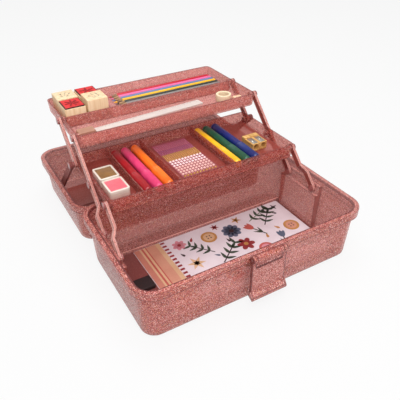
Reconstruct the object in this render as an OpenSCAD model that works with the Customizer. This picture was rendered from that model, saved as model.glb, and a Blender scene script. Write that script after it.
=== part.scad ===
// Folding art supply box: a bin, a lid that lies flat behind it, and two trays on parallel arms.
// The model stands open. X runs along the front, Y to the back and Z up.
// The origin is the centre of the bin's underside. All sizes are in millimetres.

/* [Box] */
// Length of the rim along the front
box_w = 300; // [280:1:340]
// Depth of the rim from front to back
box_d = 177; // [170:1:200]
// Height of the bin up to its rim
base_h = 72; // [69:1:80]
// Height of the lid from its rim to its panel
lid_h = 58; // [57:1:70]
// Thickness of the bin and lid walls
wall = 2.6; // [2:0.1:3.2]
// Thickness of the bin floor and the lid panel
floor_t = 2.2; // [1.8:0.1:3]
// Plan radius of the rim's corners
corner_r = 26; // [22:1:32]
// Radius of the edge between walls and floor
edge_r = 6; // [4:0.5:8]
// How far the rim stands out past the walls
rim_out = 4.9; // [3:0.1:6]
// Height of the rim band
rim_h = 9; // [7:0.5:12]
// Lean of the walls, sideways run per unit of height
draft = 0.05; // [0.02:0.005:0.06]
// Gap between the two rims when the box is shut
rim_gap = 0.5; // [0.3:0.1:1]
// Width of the ledge cut round the inside of the rim
ledge_w = 1.4; // [1:0.1:1.8]
// Depth of the ledge below the rim
ledge_h = 1.8; // [1:0.1:2.5]
// Height of the step along the back of the bin floor
step_h = 5; // [3:0.5:8]
// Depth of the step, measured in from the back of the rim
step_d = 31; // [26:1:34]

/* [Lid hinge] */
// Distance of the hinge axis behind the rim
hinge_back = 5.5; // [5:0.1:7]
// Distance of each hinge from the middle of the box
hinge_x = 85; // [60:1:100]
// Diameter of the hinge pins
hinge_pin_d = 3; // [2.5:0.1:3.5]
// Outside diameter of the hinge knuckles
knuckle_d = 8; // [7:0.5:8]
// Width of the lid's middle knuckle
knuckle_w = 16; // [12:1:24]
// Width of each of the bin's outer knuckles
ear_w = 6; // [4:0.5:8]

/* [Trays] */
// Space at each end of the trays for the arms
tray_side = 22; // [21.5:0.1:23]
// Depth of the lower tray
lower_d = 119; // [112:1:122]
// Depth of the upper tray
upper_d = 129.5; // [120:0.5:130]
// Height of the lower tray
lower_h = 20; // [18:0.5:20]
// How far the lower tray's floor lies above its bottom edge
lower_skirt = 4.6; // [0:0.1:4.8]
// Height of the upper tray
upper_h = 18; // [16:0.5:18]
// Wall thickness of the trays
tray_wall = 2; // [1.6:0.1:2.4]
// Floor thickness of the trays
tray_floor = 2; // [1.6:0.1:2.4]
// Plan radius of the tray corners
tray_r = 7; // [6:0.5:9]
// Radius of the trays' lower edges
tray_edge_r = 2.5; // [1.5:0.1:3]
// Lean of the tray walls, sideways run per unit of height
tray_draft = 0.08; // [0.04:0.01:0.1]
// Thickness of the tray dividers
divider_t = 1.6; // [1.2:0.1:2]
// How far the dividers stop below the rim
divider_drop = 1; // [0.5:0.1:2]

/* [Linkage] */
// Distance between neighbouring pivots on an arm
arm_pitch = 59.6; // [58:0.2:60.6]
// Angle of the open arms above the table, leaning back
arm_open = 45; // [44:0.5:46]
// Angle that the arms turn forward as the box shuts
arm_fold = 112; // [111:0.25:113]
// Distance between the front arm and the long arm along the box
pivot_pitch = 48.5; // [46:0.5:50]
// Distance between the long arm and the upper arm along the box
rear_pitch = 55; // [52:0.5:56]
// Place of the front arm's lower pivot behind the middle of the box
front_pivot_y = -6; // [-8:0.5:-2]
// Height of the arms' lower pivots
base_pivot_z = 59.2; // [57:0.2:60]
// Width of the arms
arm_w = 9; // [8:0.5:10]
// Thickness of the arms
arm_t = 3; // [2.6:0.1:3.4]
// Depth of the channel along each arm
channel_depth = 1; // [0.6:0.1:1.2]
// Diameter of the pivot pins
pivot_d = 4; // [3.4:0.1:4.4]
// Diameter of the pin heads
head_d = 8.6; // [7.6:0.2:9]
// Thickness of the pin heads
head_t = 1.8; // [1.4:0.1:2]
// How far the foot of each base pivot pad stands in from the pad
pad_foot = 5.4; // [3:0.1:5.6]
// Distance of the lower tray's front rim ahead of its front pivot
lower_lead = 8.6; // [6:0.1:10]
// Distance of the upper tray's front rim ahead of its front pivot
upper_lead = 8.8; // [6:0.1:11]
// Depth of the lower tray's pivots below its rim
lower_drop = 8.7; // [8:0.1:10]
// Depth of the upper tray's pivots below its rim
upper_drop = 4.7; // [4.6:0.1:6]

/* [Lid links] */
// Length of the link from its tray pivot to its stud
link_len = 98; // [97:0.5:99]
// Angle of the open link below the table's direction
link_angle = 44; // [43.5:0.25:44.5]
// Turn of the link for each degree of the lid
link_ratio = 1.155; // [1.15:0.0025:1.16]
// Thickness of the link
link_t = 2.8; // [2.4:0.1:3]
// Diameter of the stud that runs in the lid's slot
stud_d = 4; // [3:0.1:4.5]
// Play of the stud across its slot, on each side
slot_play = 0.9; // [0.8:0.1:1.6]
// Width of the slotted pad beside the slot
pad_rim = 3; // [2:0.5:4]

/* [Latch] */
// Width of the latch plate
latch_w = 45; // [38:1:50]
// Length of the latch from its axis to the foot of its plate
latch_len = 50; // [46:1:54]
// Thickness of the latch plate
latch_t = 3; // [2.4:0.1:3.4]
// Height of the window below the latch axis
window_h = 11.7; // [11.2:0.1:13]
// Width of each latch ear
latch_ear_w = 5; // [4.5:0.5:6]
// Width of the finger lip
lip_w = 48; // [46:1:54]
// How far the finger lip stands forward of the plate
lip_out = 5; // [4:0.5:7]
// Height of the latch axis below the rim
latch_drop = 2; // [1.5:0.1:2.5]
// Distance of the latch axis ahead of the rim
latch_ahead = 4.5; // [4.2:0.1:5.5]

/* [Handle] */
// Depth of the handle recess in the lid panel
recess_depth = 3.2; // [3:0.1:3.4]
// Length of the recess
recess_w = 260; // [220:1:264]
// Width of the recess from front to back
recess_d = 54; // [50:1:56]
// Distance of the recess towards the front of the shut lid
recess_shift = 26; // [24:1:28]
// Length of the handle
handle_w = 112; // [96:1:130]
// Reach of the handle from its axis to its grip
handle_reach = 26; // [24:1:28]
// Thickness of the handle
handle_t = 2.6; // [2.4:0.1:2.6]
// Width of the grip and the legs
grip_w = 9; // [8:0.5:10]

/* [Lower tray contents] */
// Length of the bay for the ink pads
pad_bay = 38; // [34:1:42]
// Length of the bay for the left markers
marker_bay = 48; // [44:1:52]
// Length of the bay for the right markers and the sharpener
right_bay = 87.8; // [86:0.2:92]
// Diameter of the markers
marker_d = 12; // [10:0.5:12]
// Length of the markers
marker_len = 106; // [96:1:106]
// Distance between neighbouring markers
marker_pitch = 14; // [13:0.5:14]
// Length of an ink pad along the box
ink_w = 25; // [22:0.5:27]
// Depth of an ink pad
ink_d = 29; // [26:0.5:32]
// Height of an ink pad case
ink_h = 11; // [10:0.5:14]
// Length of the sharpener along the box
sharpener_w = 23; // [20:1:28]
// Depth of the sharpener
sharpener_d = 26; // [24:1:32]
// Height of the sharpener
sharpener_h = 12; // [11:0.5:15]
// Free floor on each side of the gem sheet
sheet_side = 12.5; // [4:0.5:14]

/* [Upper tray contents] */
// Depth of the front bay
front_bay = 58; // [50:1:60]
// Length of the stamp bay
stamp_bay = 63; // [60:1:66]
// Side of a stamp block along the box
stamp_w = 27.5; // [24:0.5:28]
// Depth of a stamp block
stamp_d = 28; // [25:0.5:29]
// How far the stamps stand above the rim of the tray
stamp_rise = 10; // [4:0.5:11]
// Gap between the two columns of stamps
stamp_gap = 3; // [0.5:0.5:3]
// How much the front right stamp stands above the others
stamp_tall = 3.4; // [0:0.2:3.6]
// Thickness of the stamp rubber
rubber_t = 2.4; // [1.6:0.2:2.4]
// Width of a pencil across its flats
pencil_d = 5.8; // [5.2:0.1:6.2]
// Length of a pencil's sharpened end
pencil_tip = 14; // [12:0.5:20]
// Free length of the pencil bay beside the pencils
pencil_spare = 18; // [10:1:40]
// Length of the ruler
ruler_len = 160; // [150:1:164]
// Width of the ruler
ruler_w = 14; // [12:1:16]
// Thickness of the ruler
ruler_t = 1.6; // [1.2:0.1:2]
// Turn of the ruler in its bay
ruler_turn = 4; // [2:0.5:4]
// Outside diameter of the tape roll
roll_d = 22; // [18:1:24]
// Height of the tape roll
roll_h = 10; // [8:0.5:12]
// Distance of the ruler's middle behind the front wall
ruler_front = 36; // [34:0.5:38]
// Distance of the tape roll's middle behind the front wall
roll_front = 31; // [28:0.5:34]
// Free floor at the right of the tape roll
roll_side = 17; // [17:0.5:20]
// Length of the eraser
eraser_w = 22; // [18:0.5:24]
// Width of the eraser
eraser_d = 14; // [10:0.5:18]
// Height of the eraser
eraser_h = 5; // [4:0.5:8]
// Free floor at the left of the eraser
eraser_side = 7; // [5:0.5:9]
// Distance of the eraser's middle behind the front wall
eraser_front = 32; // [26:0.5:38]
// Length of the wood stick
stick_len = 13; // [10:0.5:13]
// Side of the wood stick
stick_w = 5; // [4:0.5:6]

/* [Bin contents] */
// Free floor at the left of the sticker card
card_left = 42; // [30:1:60]
// Free floor in front of the sticker card
card_front = 15.5; // [8:0.5:30]
// Thickness of the sticker card
card_t = 1; // [0.6:0.1:1.2]
// Length of the charcoal lump
charcoal_w = 26; // [20:1:30]
// Width of the charcoal lump
charcoal_d = 20; // [16:1:26]
// Height of the charcoal lump
charcoal_h = 5; // [4:0.5:8]

/* [Hidden] */

$fn = 48;
hull_fn = 32;
eps = 0.01;

// Fits
run_clear = 0.05; // radial play of a pin in its bore
side_gap = 0.3; // play between parts that slide side by side
seat_gap = 0.4; // play of a loose piece beside its neighbours

// Colours
rose = [0.75, 0.45, 0.43];
rose_dark = [0.62, 0.33, 0.32];
steel = [0.75, 0.75, 0.77];
cream = [0.93, 0.88, 0.78];
pale_wood = [0.87, 0.72, 0.55];

// Box frame
body_w = box_w - 2 * rim_out;
body_d = box_d - 2 * rim_out;
body_r = corner_r - rim_out;
mouth_w = body_w - 2 * wall;
mouth_d = body_d - 2 * wall;
hinge_y = box_d / 2 + hinge_back;
hinge_z = (base_h + rim_gap + lid_h) / 2;
lid_y = 2 * hinge_y;
front_y = -box_d / 2;
floor_half_w = body_w / 2 - wall - draft * (base_h - floor_t);
floor_half_d = body_d / 2 - wall - draft * (base_h - floor_t);
step_y = box_d / 2 - step_d;

// Layers beside the trays, outwards from the tray wall
tray_w = box_w - 2 * tray_side;
tray_half = tray_w / 2;
boss_x = tray_half + 0.3;
arm_x = boss_x + side_gap;
tray_head_x = arm_x + arm_t + side_gap;
link_x = tray_head_x + head_t + 0.5;
base_arm_x = link_x + 0.3;
pad_x = base_arm_x + arm_t + 0.4;
base_head_x = base_arm_x - side_gap - head_t;
pin_end_x = pad_x + 3;
boss_in = 5; // how far a tray boss reaches inside its rim
boss_d = head_d + 0.4;
pivot_bore = pivot_d + 2 * run_clear;

// Pivots in the open box, each as [y, z]
function step_along(angle) = arm_pitch * [cos(angle), sin(angle)];
front_base = [front_pivot_y, base_pivot_z];
long_base = front_base + [pivot_pitch, 0];
lower_front = front_base + step_along(arm_open);
lower_mid = long_base + step_along(arm_open);
lower_rear = lower_mid + [rear_pitch, 0];
upper_front = lower_mid + step_along(arm_open);
upper_rear = upper_front + [rear_pitch, 0];
fold_shift = step_along(arm_open + arm_fold) - step_along(arm_open);

// Trays
lower_y = lower_front[0] - lower_lead;
lower_rim_z = lower_front[1] + lower_drop;
lower_z = lower_rim_z - lower_h;
upper_y = upper_front[0] - upper_lead;
upper_rim_z = upper_front[1] + upper_drop;
upper_z = upper_rim_z - upper_h;
function tray_inset(h) = tray_wall + tray_draft * (h - tray_floor);
lower_floor_z = lower_z + tray_floor + lower_skirt;
lower_inset = tray_inset(lower_h - lower_skirt);
upper_floor_z = upper_z + tray_floor;
lower_half = tray_half - lower_inset;
upper_half = tray_half - tray_inset(upper_h);
lower_front_y = lower_y + lower_inset;
lower_back_y = lower_y + lower_d - lower_inset;
upper_front_y = upper_y + tray_inset(upper_h);
upper_back_y = upper_y + upper_d - tray_inset(upper_h);

// Slot in the lid, from the stud's place when open to its place when shut
lid_turn = 180;
hinge_axis = [hinge_y, hinge_z];
function polar(length, angle) = length * [cos(angle), sin(angle)];
stud_open = lower_rear + polar(link_len, -link_angle);
stud_shut = 2 * hinge_axis - lower_rear - fold_shift - polar(link_len, link_ratio * lid_turn - link_angle);
slot_run = stud_shut - stud_open;
slot_len = norm(slot_run);
slot_tilt = atan2(slot_run[1], slot_run[0]);
slot_w = stud_d + 2 * slot_play;
slot_pad_x = link_x + link_t + 2.2;
slot_floor_x = body_w / 2 - wall - draft * (lid_h - min(stud_open[1], stud_shut[1])) + 0.8;

// Latch
latch_y = front_y - latch_ahead;
latch_axis = [latch_y, base_h - latch_drop];
latch_eye_d = 8;
latch_grip = 5;
latch_pin_d = 3;
knuckle_half = latch_w / 2 - latch_ear_w - side_gap;
knuckle_drop = window_h - 0.8;
lip_h = 6;
catch_w = latch_w - 2 * latch_ear_w - 8;
// The catch lies inside the window of the raised latch; heights as seen with the box shut
catch_low = latch_axis[1] + latch_eye_d / 2 + 0.7;
catch_high = latch_axis[1] + window_h - 0.4;

// Handle
handle_y = lid_y + recess_shift - handle_reach / 2;
handle_z = recess_depth / 2;
handle_pin_d = 1.4;
handle_lug_w = 5;
recess_r = 8;

// Contents
divider_x1 = -lower_half + pad_bay;
divider_x2 = divider_x1 + marker_bay;
divider_x3 = lower_half - right_bay;
sheet_w = divider_x3 - divider_x2 - 2 * sheet_side;
long_divider_y = upper_front_y + front_bay;
cross_divider_x = -upper_half + stamp_bay;
pencil_end = upper_half - tray_edge_r;
pencil_len = pencil_end - cross_divider_x - divider_t / 2 - pencil_spare;
roll_hole_d = roll_d - 7;

// A drafted tub with its narrow floor at z = 0 and its open end at z = h
module tub(w, d, h, r, slope, edge) {
    foot_r = r - slope * h;
    arc = [for (a = [-90:22.5:0]) [foot_r - edge + edge * cos(a), edge + edge * sin(a)]];
    hull()
        for (sx = [-1, 1], sy = [-1, 1])
            translate([sx * (w / 2 - r), sy * (d / 2 - r), 0])
                rotate_extrude($fn = hull_fn) polygon(concat([[0, 0]], arc, [[r, h], [0, h]]));
}

// A flat plate with round plan corners
module round_plate(w, d, h, r) {
    linear_extrude(h) {
        square([w - 2 * r, d], center = true);
        square([w, d - 2 * r], center = true);
        for (sx = [-1, 1], sy = [-1, 1])
            translate([sx * (w / 2 - r), sy * (d / 2 - r)]) circle(r);
    }
}

// A round rod along X from x0 to x1 at the point yz
module rod_x(d, x0, x1, yz) {
    translate([x0, yz[0], yz[1]]) rotate([0, 90, 0]) cylinder(d = d, h = x1 - x0);
}

// A round rod along Y from y0 to y1
module rod_y(d, x, y0, y1, z) {
    translate([x, y0, z]) rotate([-90, 0, 0]) cylinder(d = d, h = y1 - y0);
}

// A block between two corners
module block(low, high) {
    translate(low) cube(high - low);
}

module both_sides() {
    children();
    mirror([1, 0, 0]) children();
}

module shell_outer(h) {
    tub(body_w, body_d, h, body_r, draft, edge_r);
}

// The drafted shell with its rim band, standing on its floor
module open_shell(h) {
    inner_edge = edge_r - 1.5;
    difference() {
        union() {
            shell_outer(h);
            translate([0, 0, h - rim_h]) round_plate(box_w, box_d, rim_h, corner_r);
        }
        translate([0, 0, floor_t])
            tub(mouth_w, mouth_d, h - floor_t, body_r - wall, draft, inner_edge);
        // Ledge round the inside of the rim
        translate([0, 0, h - ledge_h])
            round_plate(mouth_w + 2 * ledge_w, mouth_d + 2 * ledge_w, ledge_h + 1, body_r - wall + ledge_w);
    }
}

// One hinge ear of the bin, centred on x
module base_ear(x) {
    rod_x(knuckle_d, x - ear_w / 2, x + ear_w / 2, hinge_axis);
    block([x - ear_w / 2, body_d / 2 - wall, hinge_z - knuckle_d / 2],
        [x + ear_w / 2, hinge_y, hinge_z + knuckle_d / 2]);
}

ear_x = knuckle_w / 2 + side_gap + ear_w / 2;
hinge_pin_half = ear_x + ear_w / 2 + 1;
hinge_bore_half = hinge_pin_half + 2;

module base_bin() {
    pad_y0 = front_base[0] - arm_w - 2;
    pad_y1 = long_base[0] + arm_w + 2;
    pad_z1 = base_pivot_z + 6;
    pad_foot_z1 = base_pivot_z - arm_w / 2 - 2;
    color(rose) difference() {
        union() {
            open_shell(base_h);
            // Step along the back of the floor, and pivot pads on the side walls
            intersection() {
                shell_outer(base_h);
                union() {
                    block([-floor_half_w, step_y, floor_t / 2],
                        [floor_half_w, body_d / 2, floor_t + step_h]);
                    both_sides() {
                        block([pad_x, pad_y0, floor_t / 2], [body_w / 2, pad_y1, pad_z1]);
                        block([pad_x - pad_foot, pad_y0, floor_t / 2], [body_w / 2, pad_y1, pad_foot_z1]);
                    }
                }
            }
            for (sx = [-1, 1], side = [-1, 1]) base_ear(sx * hinge_x + side * ear_x);
            // Knuckle that carries the latch and fills its window
            rod_x(latch_eye_d, -knuckle_half, knuckle_half, latch_axis);
            block([-knuckle_half, latch_y - latch_t / 2, latch_axis[1] - knuckle_drop],
                [knuckle_half, front_y + rim_out + wall / 2, latch_axis[1]]);
        }
        both_sides() for (p = [front_base, long_base])
            rod_x(pivot_bore, pad_x - 1, pin_end_x + side_gap, p);
        for (sx = [-1, 1])
            rod_x(hinge_pin_d + 2 * run_clear, sx * hinge_x - hinge_bore_half, sx * hinge_x + hinge_bore_half,
                hinge_axis);
        rod_x(latch_pin_d + 2 * run_clear, -latch_w, latch_w, latch_axis);
    }
}

module hinge_pins() {
    color(steel) for (sx = [-1, 1])
        rod_x(hinge_pin_d, sx * hinge_x - hinge_pin_half, sx * hinge_x + hinge_pin_half, hinge_axis);
}

module base_pivot_pins() {
    color(rose_dark) both_sides() for (p = [front_base, long_base]) {
        rod_x(pivot_d, base_head_x + head_t, pin_end_x, p);
        rod_x(head_d, base_head_x, base_head_x + head_t, p);
    }
}

module latch_pins() {
    color(steel) both_sides() rod_x(latch_pin_d, knuckle_half - latch_grip, latch_w / 2, latch_axis);
}

// Lid, modelled shut side down: it lies open behind the bin with its panel on the table
module lid_leaf(x) {
    r = knuckle_d / 2;
    rim_y = lid_y - box_d / 2;
    rod_x(knuckle_d, x - knuckle_w / 2, x + knuckle_w / 2, hinge_axis);
    translate([x - knuckle_w / 2, 0, 0]) rotate([90, 0, 90]) linear_extrude(knuckle_w)
        polygon([[hinge_y - r, hinge_z], [hinge_y + r, hinge_z], [rim_y - 1.7, lid_h - 0.7],
            [rim_y + 1.5, lid_h - 0.7], [rim_y + 1.5, lid_h - rim_h + 1.5]]);
}

module slot_bar(w, x0, x1) {
    for (p = [stud_open, stud_shut]) rod_x(w, x0, x1, p);
    translate([x0, stud_open[0], stud_open[1]]) rotate([slot_tilt, 0, 0])
        translate([0, 0, -w / 2]) cube([x1 - x0, slot_len, w]);
}

module lid_shell() {
    recess_y = lid_y + recess_shift;
    lug_x = handle_w / 2 + side_gap + handle_lug_w / 2;
    color(rose) difference() {
        union() {
            translate([0, lid_y, 0]) difference() {
                union() {
                    open_shell(lid_h);
                    // Raised underside of the handle recess
                    translate([0, recess_shift, floor_t / 2])
                        round_plate(recess_w, recess_d, recess_depth + floor_t / 2, recess_r);
                }
                translate([0, recess_shift, -1])
                    round_plate(recess_w - 2 * floor_t, recess_d - 2 * floor_t, recess_depth + 1,
                        recess_r - floor_t);
            }
            for (sx = [-1, 1]) lid_leaf(sx * hinge_x);
            // Slotted pads on the side walls
            intersection() {
                translate([0, lid_y, 0]) shell_outer(lid_h);
                both_sides() slot_bar(slot_w + 2 * pad_rim, slot_pad_x, body_w / 2);
            }
            // Catch on the front rim for the latch
            block([-catch_w / 2, lid_y + box_d / 2 - 1, 2 * hinge_z - catch_high],
                [catch_w / 2, lid_y + box_d / 2 + latch_ahead - 0.5, 2 * hinge_z - catch_low]);
            // Lugs that carry the handle
            for (sx = [-1, 1])
                block([sx * lug_x - handle_lug_w / 2, handle_y - 3.4, 0.3],
                    [sx * lug_x + handle_lug_w / 2, handle_y + 3.4, recess_depth + eps]);
        }
        for (sx = [-1, 1])
            rod_x(hinge_pin_d + 2 * run_clear, sx * hinge_x - hinge_bore_half, sx * hinge_x + hinge_bore_half,
                hinge_axis);
        both_sides() slot_bar(slot_w, slot_pad_x - 1, slot_floor_x);
        both_sides()
            rod_x(handle_pin_d + 2 * run_clear, handle_w / 2, handle_w / 2 + 8, [handle_y, handle_z]);
    }
}

module handle_pins() {
    color(steel) both_sides()
        rod_x(handle_pin_d, handle_w / 2 - 5, handle_w / 2 + handle_lug_w, [handle_y, handle_z]);
}

module carry_handle() {
    leg_in = handle_w / 2 - grip_w;
    z0 = handle_z - handle_t / 2;
    color(rose_dark) difference() {
        union() {
            both_sides() {
                rod_x(handle_t, leg_in, handle_w / 2, [handle_y, handle_z]);
                block([leg_in, handle_y, z0], [handle_w / 2, handle_y + handle_reach, z0 + handle_t]);
            }
            translate([0, handle_y + handle_reach, z0])
                round_plate(handle_w, grip_w, handle_t, grip_w / 2 - 0.5);
        }
        both_sides()
            rod_x(handle_pin_d + 2 * run_clear, leg_in - 1, handle_w / 2 + 1, [handle_y, handle_z]);
    }
}

// The latch hangs from its axis, with two ears beside a window, a plate and a finger lip
module latch() {
    y0 = latch_y - latch_t / 2;
    y1 = latch_y + latch_t / 2;
    top_z = latch_axis[1] - window_h;
    foot_z = latch_axis[1] - latch_len;
    color(rose) difference() {
        union() {
            block([-latch_w / 2, y0, foot_z], [latch_w / 2, y1, top_z]);
            both_sides() {
                rod_x(latch_eye_d, latch_w / 2 - latch_ear_w, latch_w / 2, latch_axis);
                block([latch_w / 2 - latch_ear_w, y0, top_z - eps], [latch_w / 2, y1, latch_axis[1]]);
            }
            translate([-lip_w / 2, 0, 0]) rotate([90, 0, 90]) linear_extrude(lip_w)
                polygon([[y1, foot_z - 1], [y1, foot_z + 2], [y0, foot_z + lip_h],
                    [y0 - lip_out, foot_z - 2], [y0 - lip_out, foot_z - 4.4]]);
        }
        rod_x(latch_pin_d + 2 * run_clear, -latch_w, latch_w, latch_axis);
    }
}

// A bar from u = 0 to the last pivot, set in at the step when joggle is true
function bar_outline(x0, x1, u0, u1, s0, s1, dx) = dx == 0
    ? [[x0, u0], [x1, u0], [x1, u1], [x0, u1]]
    : [[x0 + dx, u0], [x1 + dx, u0], [x1 + dx, s0], [x1, s1], [x1, u1], [x0, u1], [x0, s1], [x0 + dx, s0]];

module arm(foot, pivots, joggle) {
    dx = joggle ? base_arm_x - arm_x : 0;
    s0 = arm_pitch * 0.36;
    s1 = arm_pitch * 0.54;
    last = pivots[len(pivots) - 1];
    groove_w = arm_w - 3.2;
    clear = head_d / 2 + 0.6;
    function at(u) = u < s0 ? dx : 0;
    translate([0, foot[0], foot[1]]) rotate([arm_open, 0, 0]) difference() {
        union() {
            linear_extrude(arm_w, center = true)
                polygon(bar_outline(arm_x, arm_x + arm_t, 0, last, s0, s1, dx));
            for (u = [0, last]) rod_x(arm_w, arm_x + at(u), arm_x + at(u) + arm_t, [u, 0]);
        }
        for (u = pivots) rod_x(pivot_bore, arm_x - 1, arm_x + dx + arm_t + 1, [u, 0]);
        // Channel on the outer face between neighbouring pivots
        for (i = [0:len(pivots) - 2]) {
            face = arm_x + arm_t - channel_depth;
            linear_extrude(groove_w, center = true)
                polygon(bar_outline(face, face + 4, pivots[i] + clear, pivots[i + 1] - clear,
                    s0, s1, i == 0 ? dx : 0));
        }
    }
}

module long_arm() {
    color(rose) arm(long_base, [0, arm_pitch, 2 * arm_pitch], true);
}
module long_arm_right() {
    long_arm();
}
module long_arm_left() {
    mirror([1, 0, 0]) long_arm();
}

module front_arm() {
    color(rose) arm(front_base, [0, arm_pitch], true);
}
module front_arm_right() {
    front_arm();
}
module front_arm_left() {
    mirror([1, 0, 0]) front_arm();
}

module upper_arm() {
    color(rose) arm(lower_rear, [0, arm_pitch], false);
}
module upper_arm_right() {
    upper_arm();
}
module upper_arm_left() {
    mirror([1, 0, 0]) upper_arm();
}

// Link between the lower tray and the slot in the lid's side wall
module lid_link() {
    x1 = link_x + link_t;
    color(rose) difference() {
        translate([0, lower_rear[0], lower_rear[1]]) rotate([-link_angle, 0, 0]) union() {
            block([link_x, 0, -arm_w / 2], [x1, link_len, arm_w / 2]);
            for (u = [0, link_len]) rod_x(arm_w, link_x, x1, [u, 0]);
            rod_x(stud_d, x1 - eps, slot_floor_x - 0.5, [link_len, 0]);
        }
        rod_x(pivot_bore, link_x - 1, x1 + 1, lower_rear);
    }
}
module lid_link_right() {
    lid_link();
}
module lid_link_left() {
    mirror([1, 0, 0]) lid_link();
}

// An open tray with a boss on each side wall at every pivot; a lifted floor leaves a skirt below it
module tray(y, z, d, h, lift, pivots) {
    inset = tray_wall + tray_draft * h;
    difference() {
        union() {
            translate([0, y + d / 2, z]) difference() {
                tub(tray_w, d, h, tray_r, tray_draft, tray_edge_r);
                translate([0, 0, tray_floor + lift])
                    tub(tray_w - 2 * tray_wall, d - 2 * tray_wall, h - tray_floor - lift,
                        tray_r - tray_wall, tray_draft, tray_edge_r - 1);
                if (lift > 0) translate([0, 0, -1])
                    round_plate(tray_w - 2 * inset, d - 2 * inset, lift + 1, tray_r - inset);
                translate([0, 0, h - eps])
                    round_plate(tray_w - 2 * tray_wall, d - 2 * tray_wall, 1, tray_r - tray_wall);
            }
            both_sides() for (p = pivots) rod_x(boss_d, tray_half - boss_in, boss_x, p);
        }
        both_sides() for (p = pivots) rod_x(pivot_bore, tray_half - boss_in - 1, boss_x + 1, p);
    }
}

module lower_tray() {
    color(rose) tray(lower_y, lower_z, lower_d, lower_h, lower_skirt, [lower_front, lower_mid, lower_rear]);
}

module upper_tray() {
    color(rose) tray(upper_y, upper_z, upper_d, upper_h, 0, [upper_front, upper_rear]);
}

module tray_pin(p) {
    rod_x(pivot_d, tray_half - boss_in, tray_head_x, p);
    rod_x(head_d, tray_head_x, tray_head_x + head_t, p);
}

// The rear pin is longer, because it carries the upper arm and the lid link
module lower_tray_pins() {
    color(rose_dark) both_sides() {
        for (p = [lower_front, lower_mid]) tray_pin(p);
        rod_x(pivot_d, tray_half - boss_in, link_x + link_t + side_gap, lower_rear);
        rod_x(head_d - 1, tray_head_x, link_x - side_gap, lower_rear);
        rod_x(head_d, link_x + link_t + side_gap, link_x + link_t + side_gap + 1.4, lower_rear);
    }
}

module upper_tray_pins() {
    color(rose_dark) both_sides() for (p = [upper_front, upper_rear]) tray_pin(p);
}

// The outline of a divider that follows the lean of the tray's walls from p0 to p1
function divider_outline(p0, p1, h) = let(e = tray_edge_r, lean = tray_draft * h)
    [[p0 + e, 0], [p1 - e, 0], [p1, e], [p1 + lean, h], [p0 - lean, h], [p0, e]];

module lower_divider(x) {
    h = lower_h - tray_floor - lower_skirt - divider_drop;
    outline = divider_outline(lower_front_y + seat_gap, lower_back_y - seat_gap, h);
    color(rose) translate([x - divider_t / 2, 0, lower_floor_z]) rotate([90, 0, 90])
        linear_extrude(divider_t) polygon(outline);
}
module lower_divider_left() {
    lower_divider(divider_x1);
}
module lower_divider_middle() {
    lower_divider(divider_x2);
}
module lower_divider_right() {
    lower_divider(divider_x3);
}

// The ends are cut away beside the rear pivot bosses
module upper_long_divider() {
    h = upper_h - tray_floor - divider_drop;
    half = upper_half - seat_gap;
    notch = [tray_half - boss_in - 0.3, long_divider_y - divider_t, upper_rear[1] - boss_d / 2 - 0.3];
    color(rose) difference() {
        translate([0, long_divider_y + divider_t / 2, upper_floor_z]) rotate([90, 0, 0])
            linear_extrude(divider_t) polygon(divider_outline(-half, half, h));
        both_sides() block(notch, [tray_half, long_divider_y + divider_t, upper_rim_z]);
    }
}

module upper_cross_divider() {
    h = upper_h - tray_floor - divider_drop;
    y0 = long_divider_y + divider_t / 2 + seat_gap + tray_draft * h;
    color(rose) translate([cross_divider_x - divider_t / 2, 0, upper_floor_z]) rotate([90, 0, 90])
        linear_extrude(divider_t) polygon(divider_outline(y0, upper_back_y - seat_gap, h));
}

// Ink pads: a case with a raised edge round a sunk felt
ink_x = -lower_half + pad_bay / 2 - 2;
ink_front_y = lower_front_y + 16;
felt_sink = 4;
ink_edge = 2;

module ink_case(i) {
    y = ink_front_y + i * (ink_d + 2);
    translate([ink_x, y + ink_d / 2, lower_floor_z]) difference() {
        round_plate(ink_w, ink_d, ink_h, 3);
        translate([0, 0, ink_h - felt_sink])
            round_plate(ink_w - 2 * ink_edge, ink_d - 2 * ink_edge, felt_sink + 1, 1.5);
    }
}

module ink_felt(i) {
    y = ink_front_y + i * (ink_d + 2);
    gap = 2 * (ink_edge + 0.2);
    translate([ink_x, y + ink_d / 2, lower_floor_z + ink_h - felt_sink])
        round_plate(ink_w - gap, ink_d - gap, felt_sink - 0.8, 1.2);
}

module ink_case_coral() {
    color(cream) ink_case(0);
}
module ink_case_gold() {
    color(cream) ink_case(1);
}
module ink_felt_coral() {
    color([0.93, 0.42, 0.45]) ink_felt(0);
}
module ink_felt_gold() {
    color([0.55, 0.38, 0.14]) ink_felt(1);
}

// A felt marker lying front to back, with its cap to the front
module marker(x) {
    r = marker_d / 2;
    cap = marker_len * 0.38;
    y0 = lower_front_y + tray_edge_r;
    translate([x, y0, lower_floor_z + r]) rotate([-90, 0, 0]) rotate_extrude()
        polygon([[0, 0], [r - 1.6, 0], [r - 0.8, 1], [r, cap], [r - 0.5, cap + 0.6],
            [r - 0.3, marker_len - 3], [r - 1.4, marker_len], [0, marker_len]]);
}

left_marker_x = divider_x1 + divider_t / 2 + seat_gap + marker_d / 2 + 1;
right_marker_x = divider_x3 + divider_t / 2 + seat_gap + marker_d / 2;

module marker_red() {
    color([0.62, 0.08, 0.1]) marker(left_marker_x);
}
module marker_pink() {
    color([0.9, 0.3, 0.5]) marker(left_marker_x + marker_pitch);
}
module marker_orange() {
    color([0.95, 0.48, 0.12]) marker(left_marker_x + 2 * marker_pitch);
}
module marker_yellow() {
    color([0.92, 0.75, 0.2]) marker(right_marker_x);
}
module marker_green() {
    color([0.08, 0.32, 0.2]) marker(right_marker_x + marker_pitch);
}
module marker_blue() {
    color([0.1, 0.16, 0.4]) marker(right_marker_x + 2 * marker_pitch);
}

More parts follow.
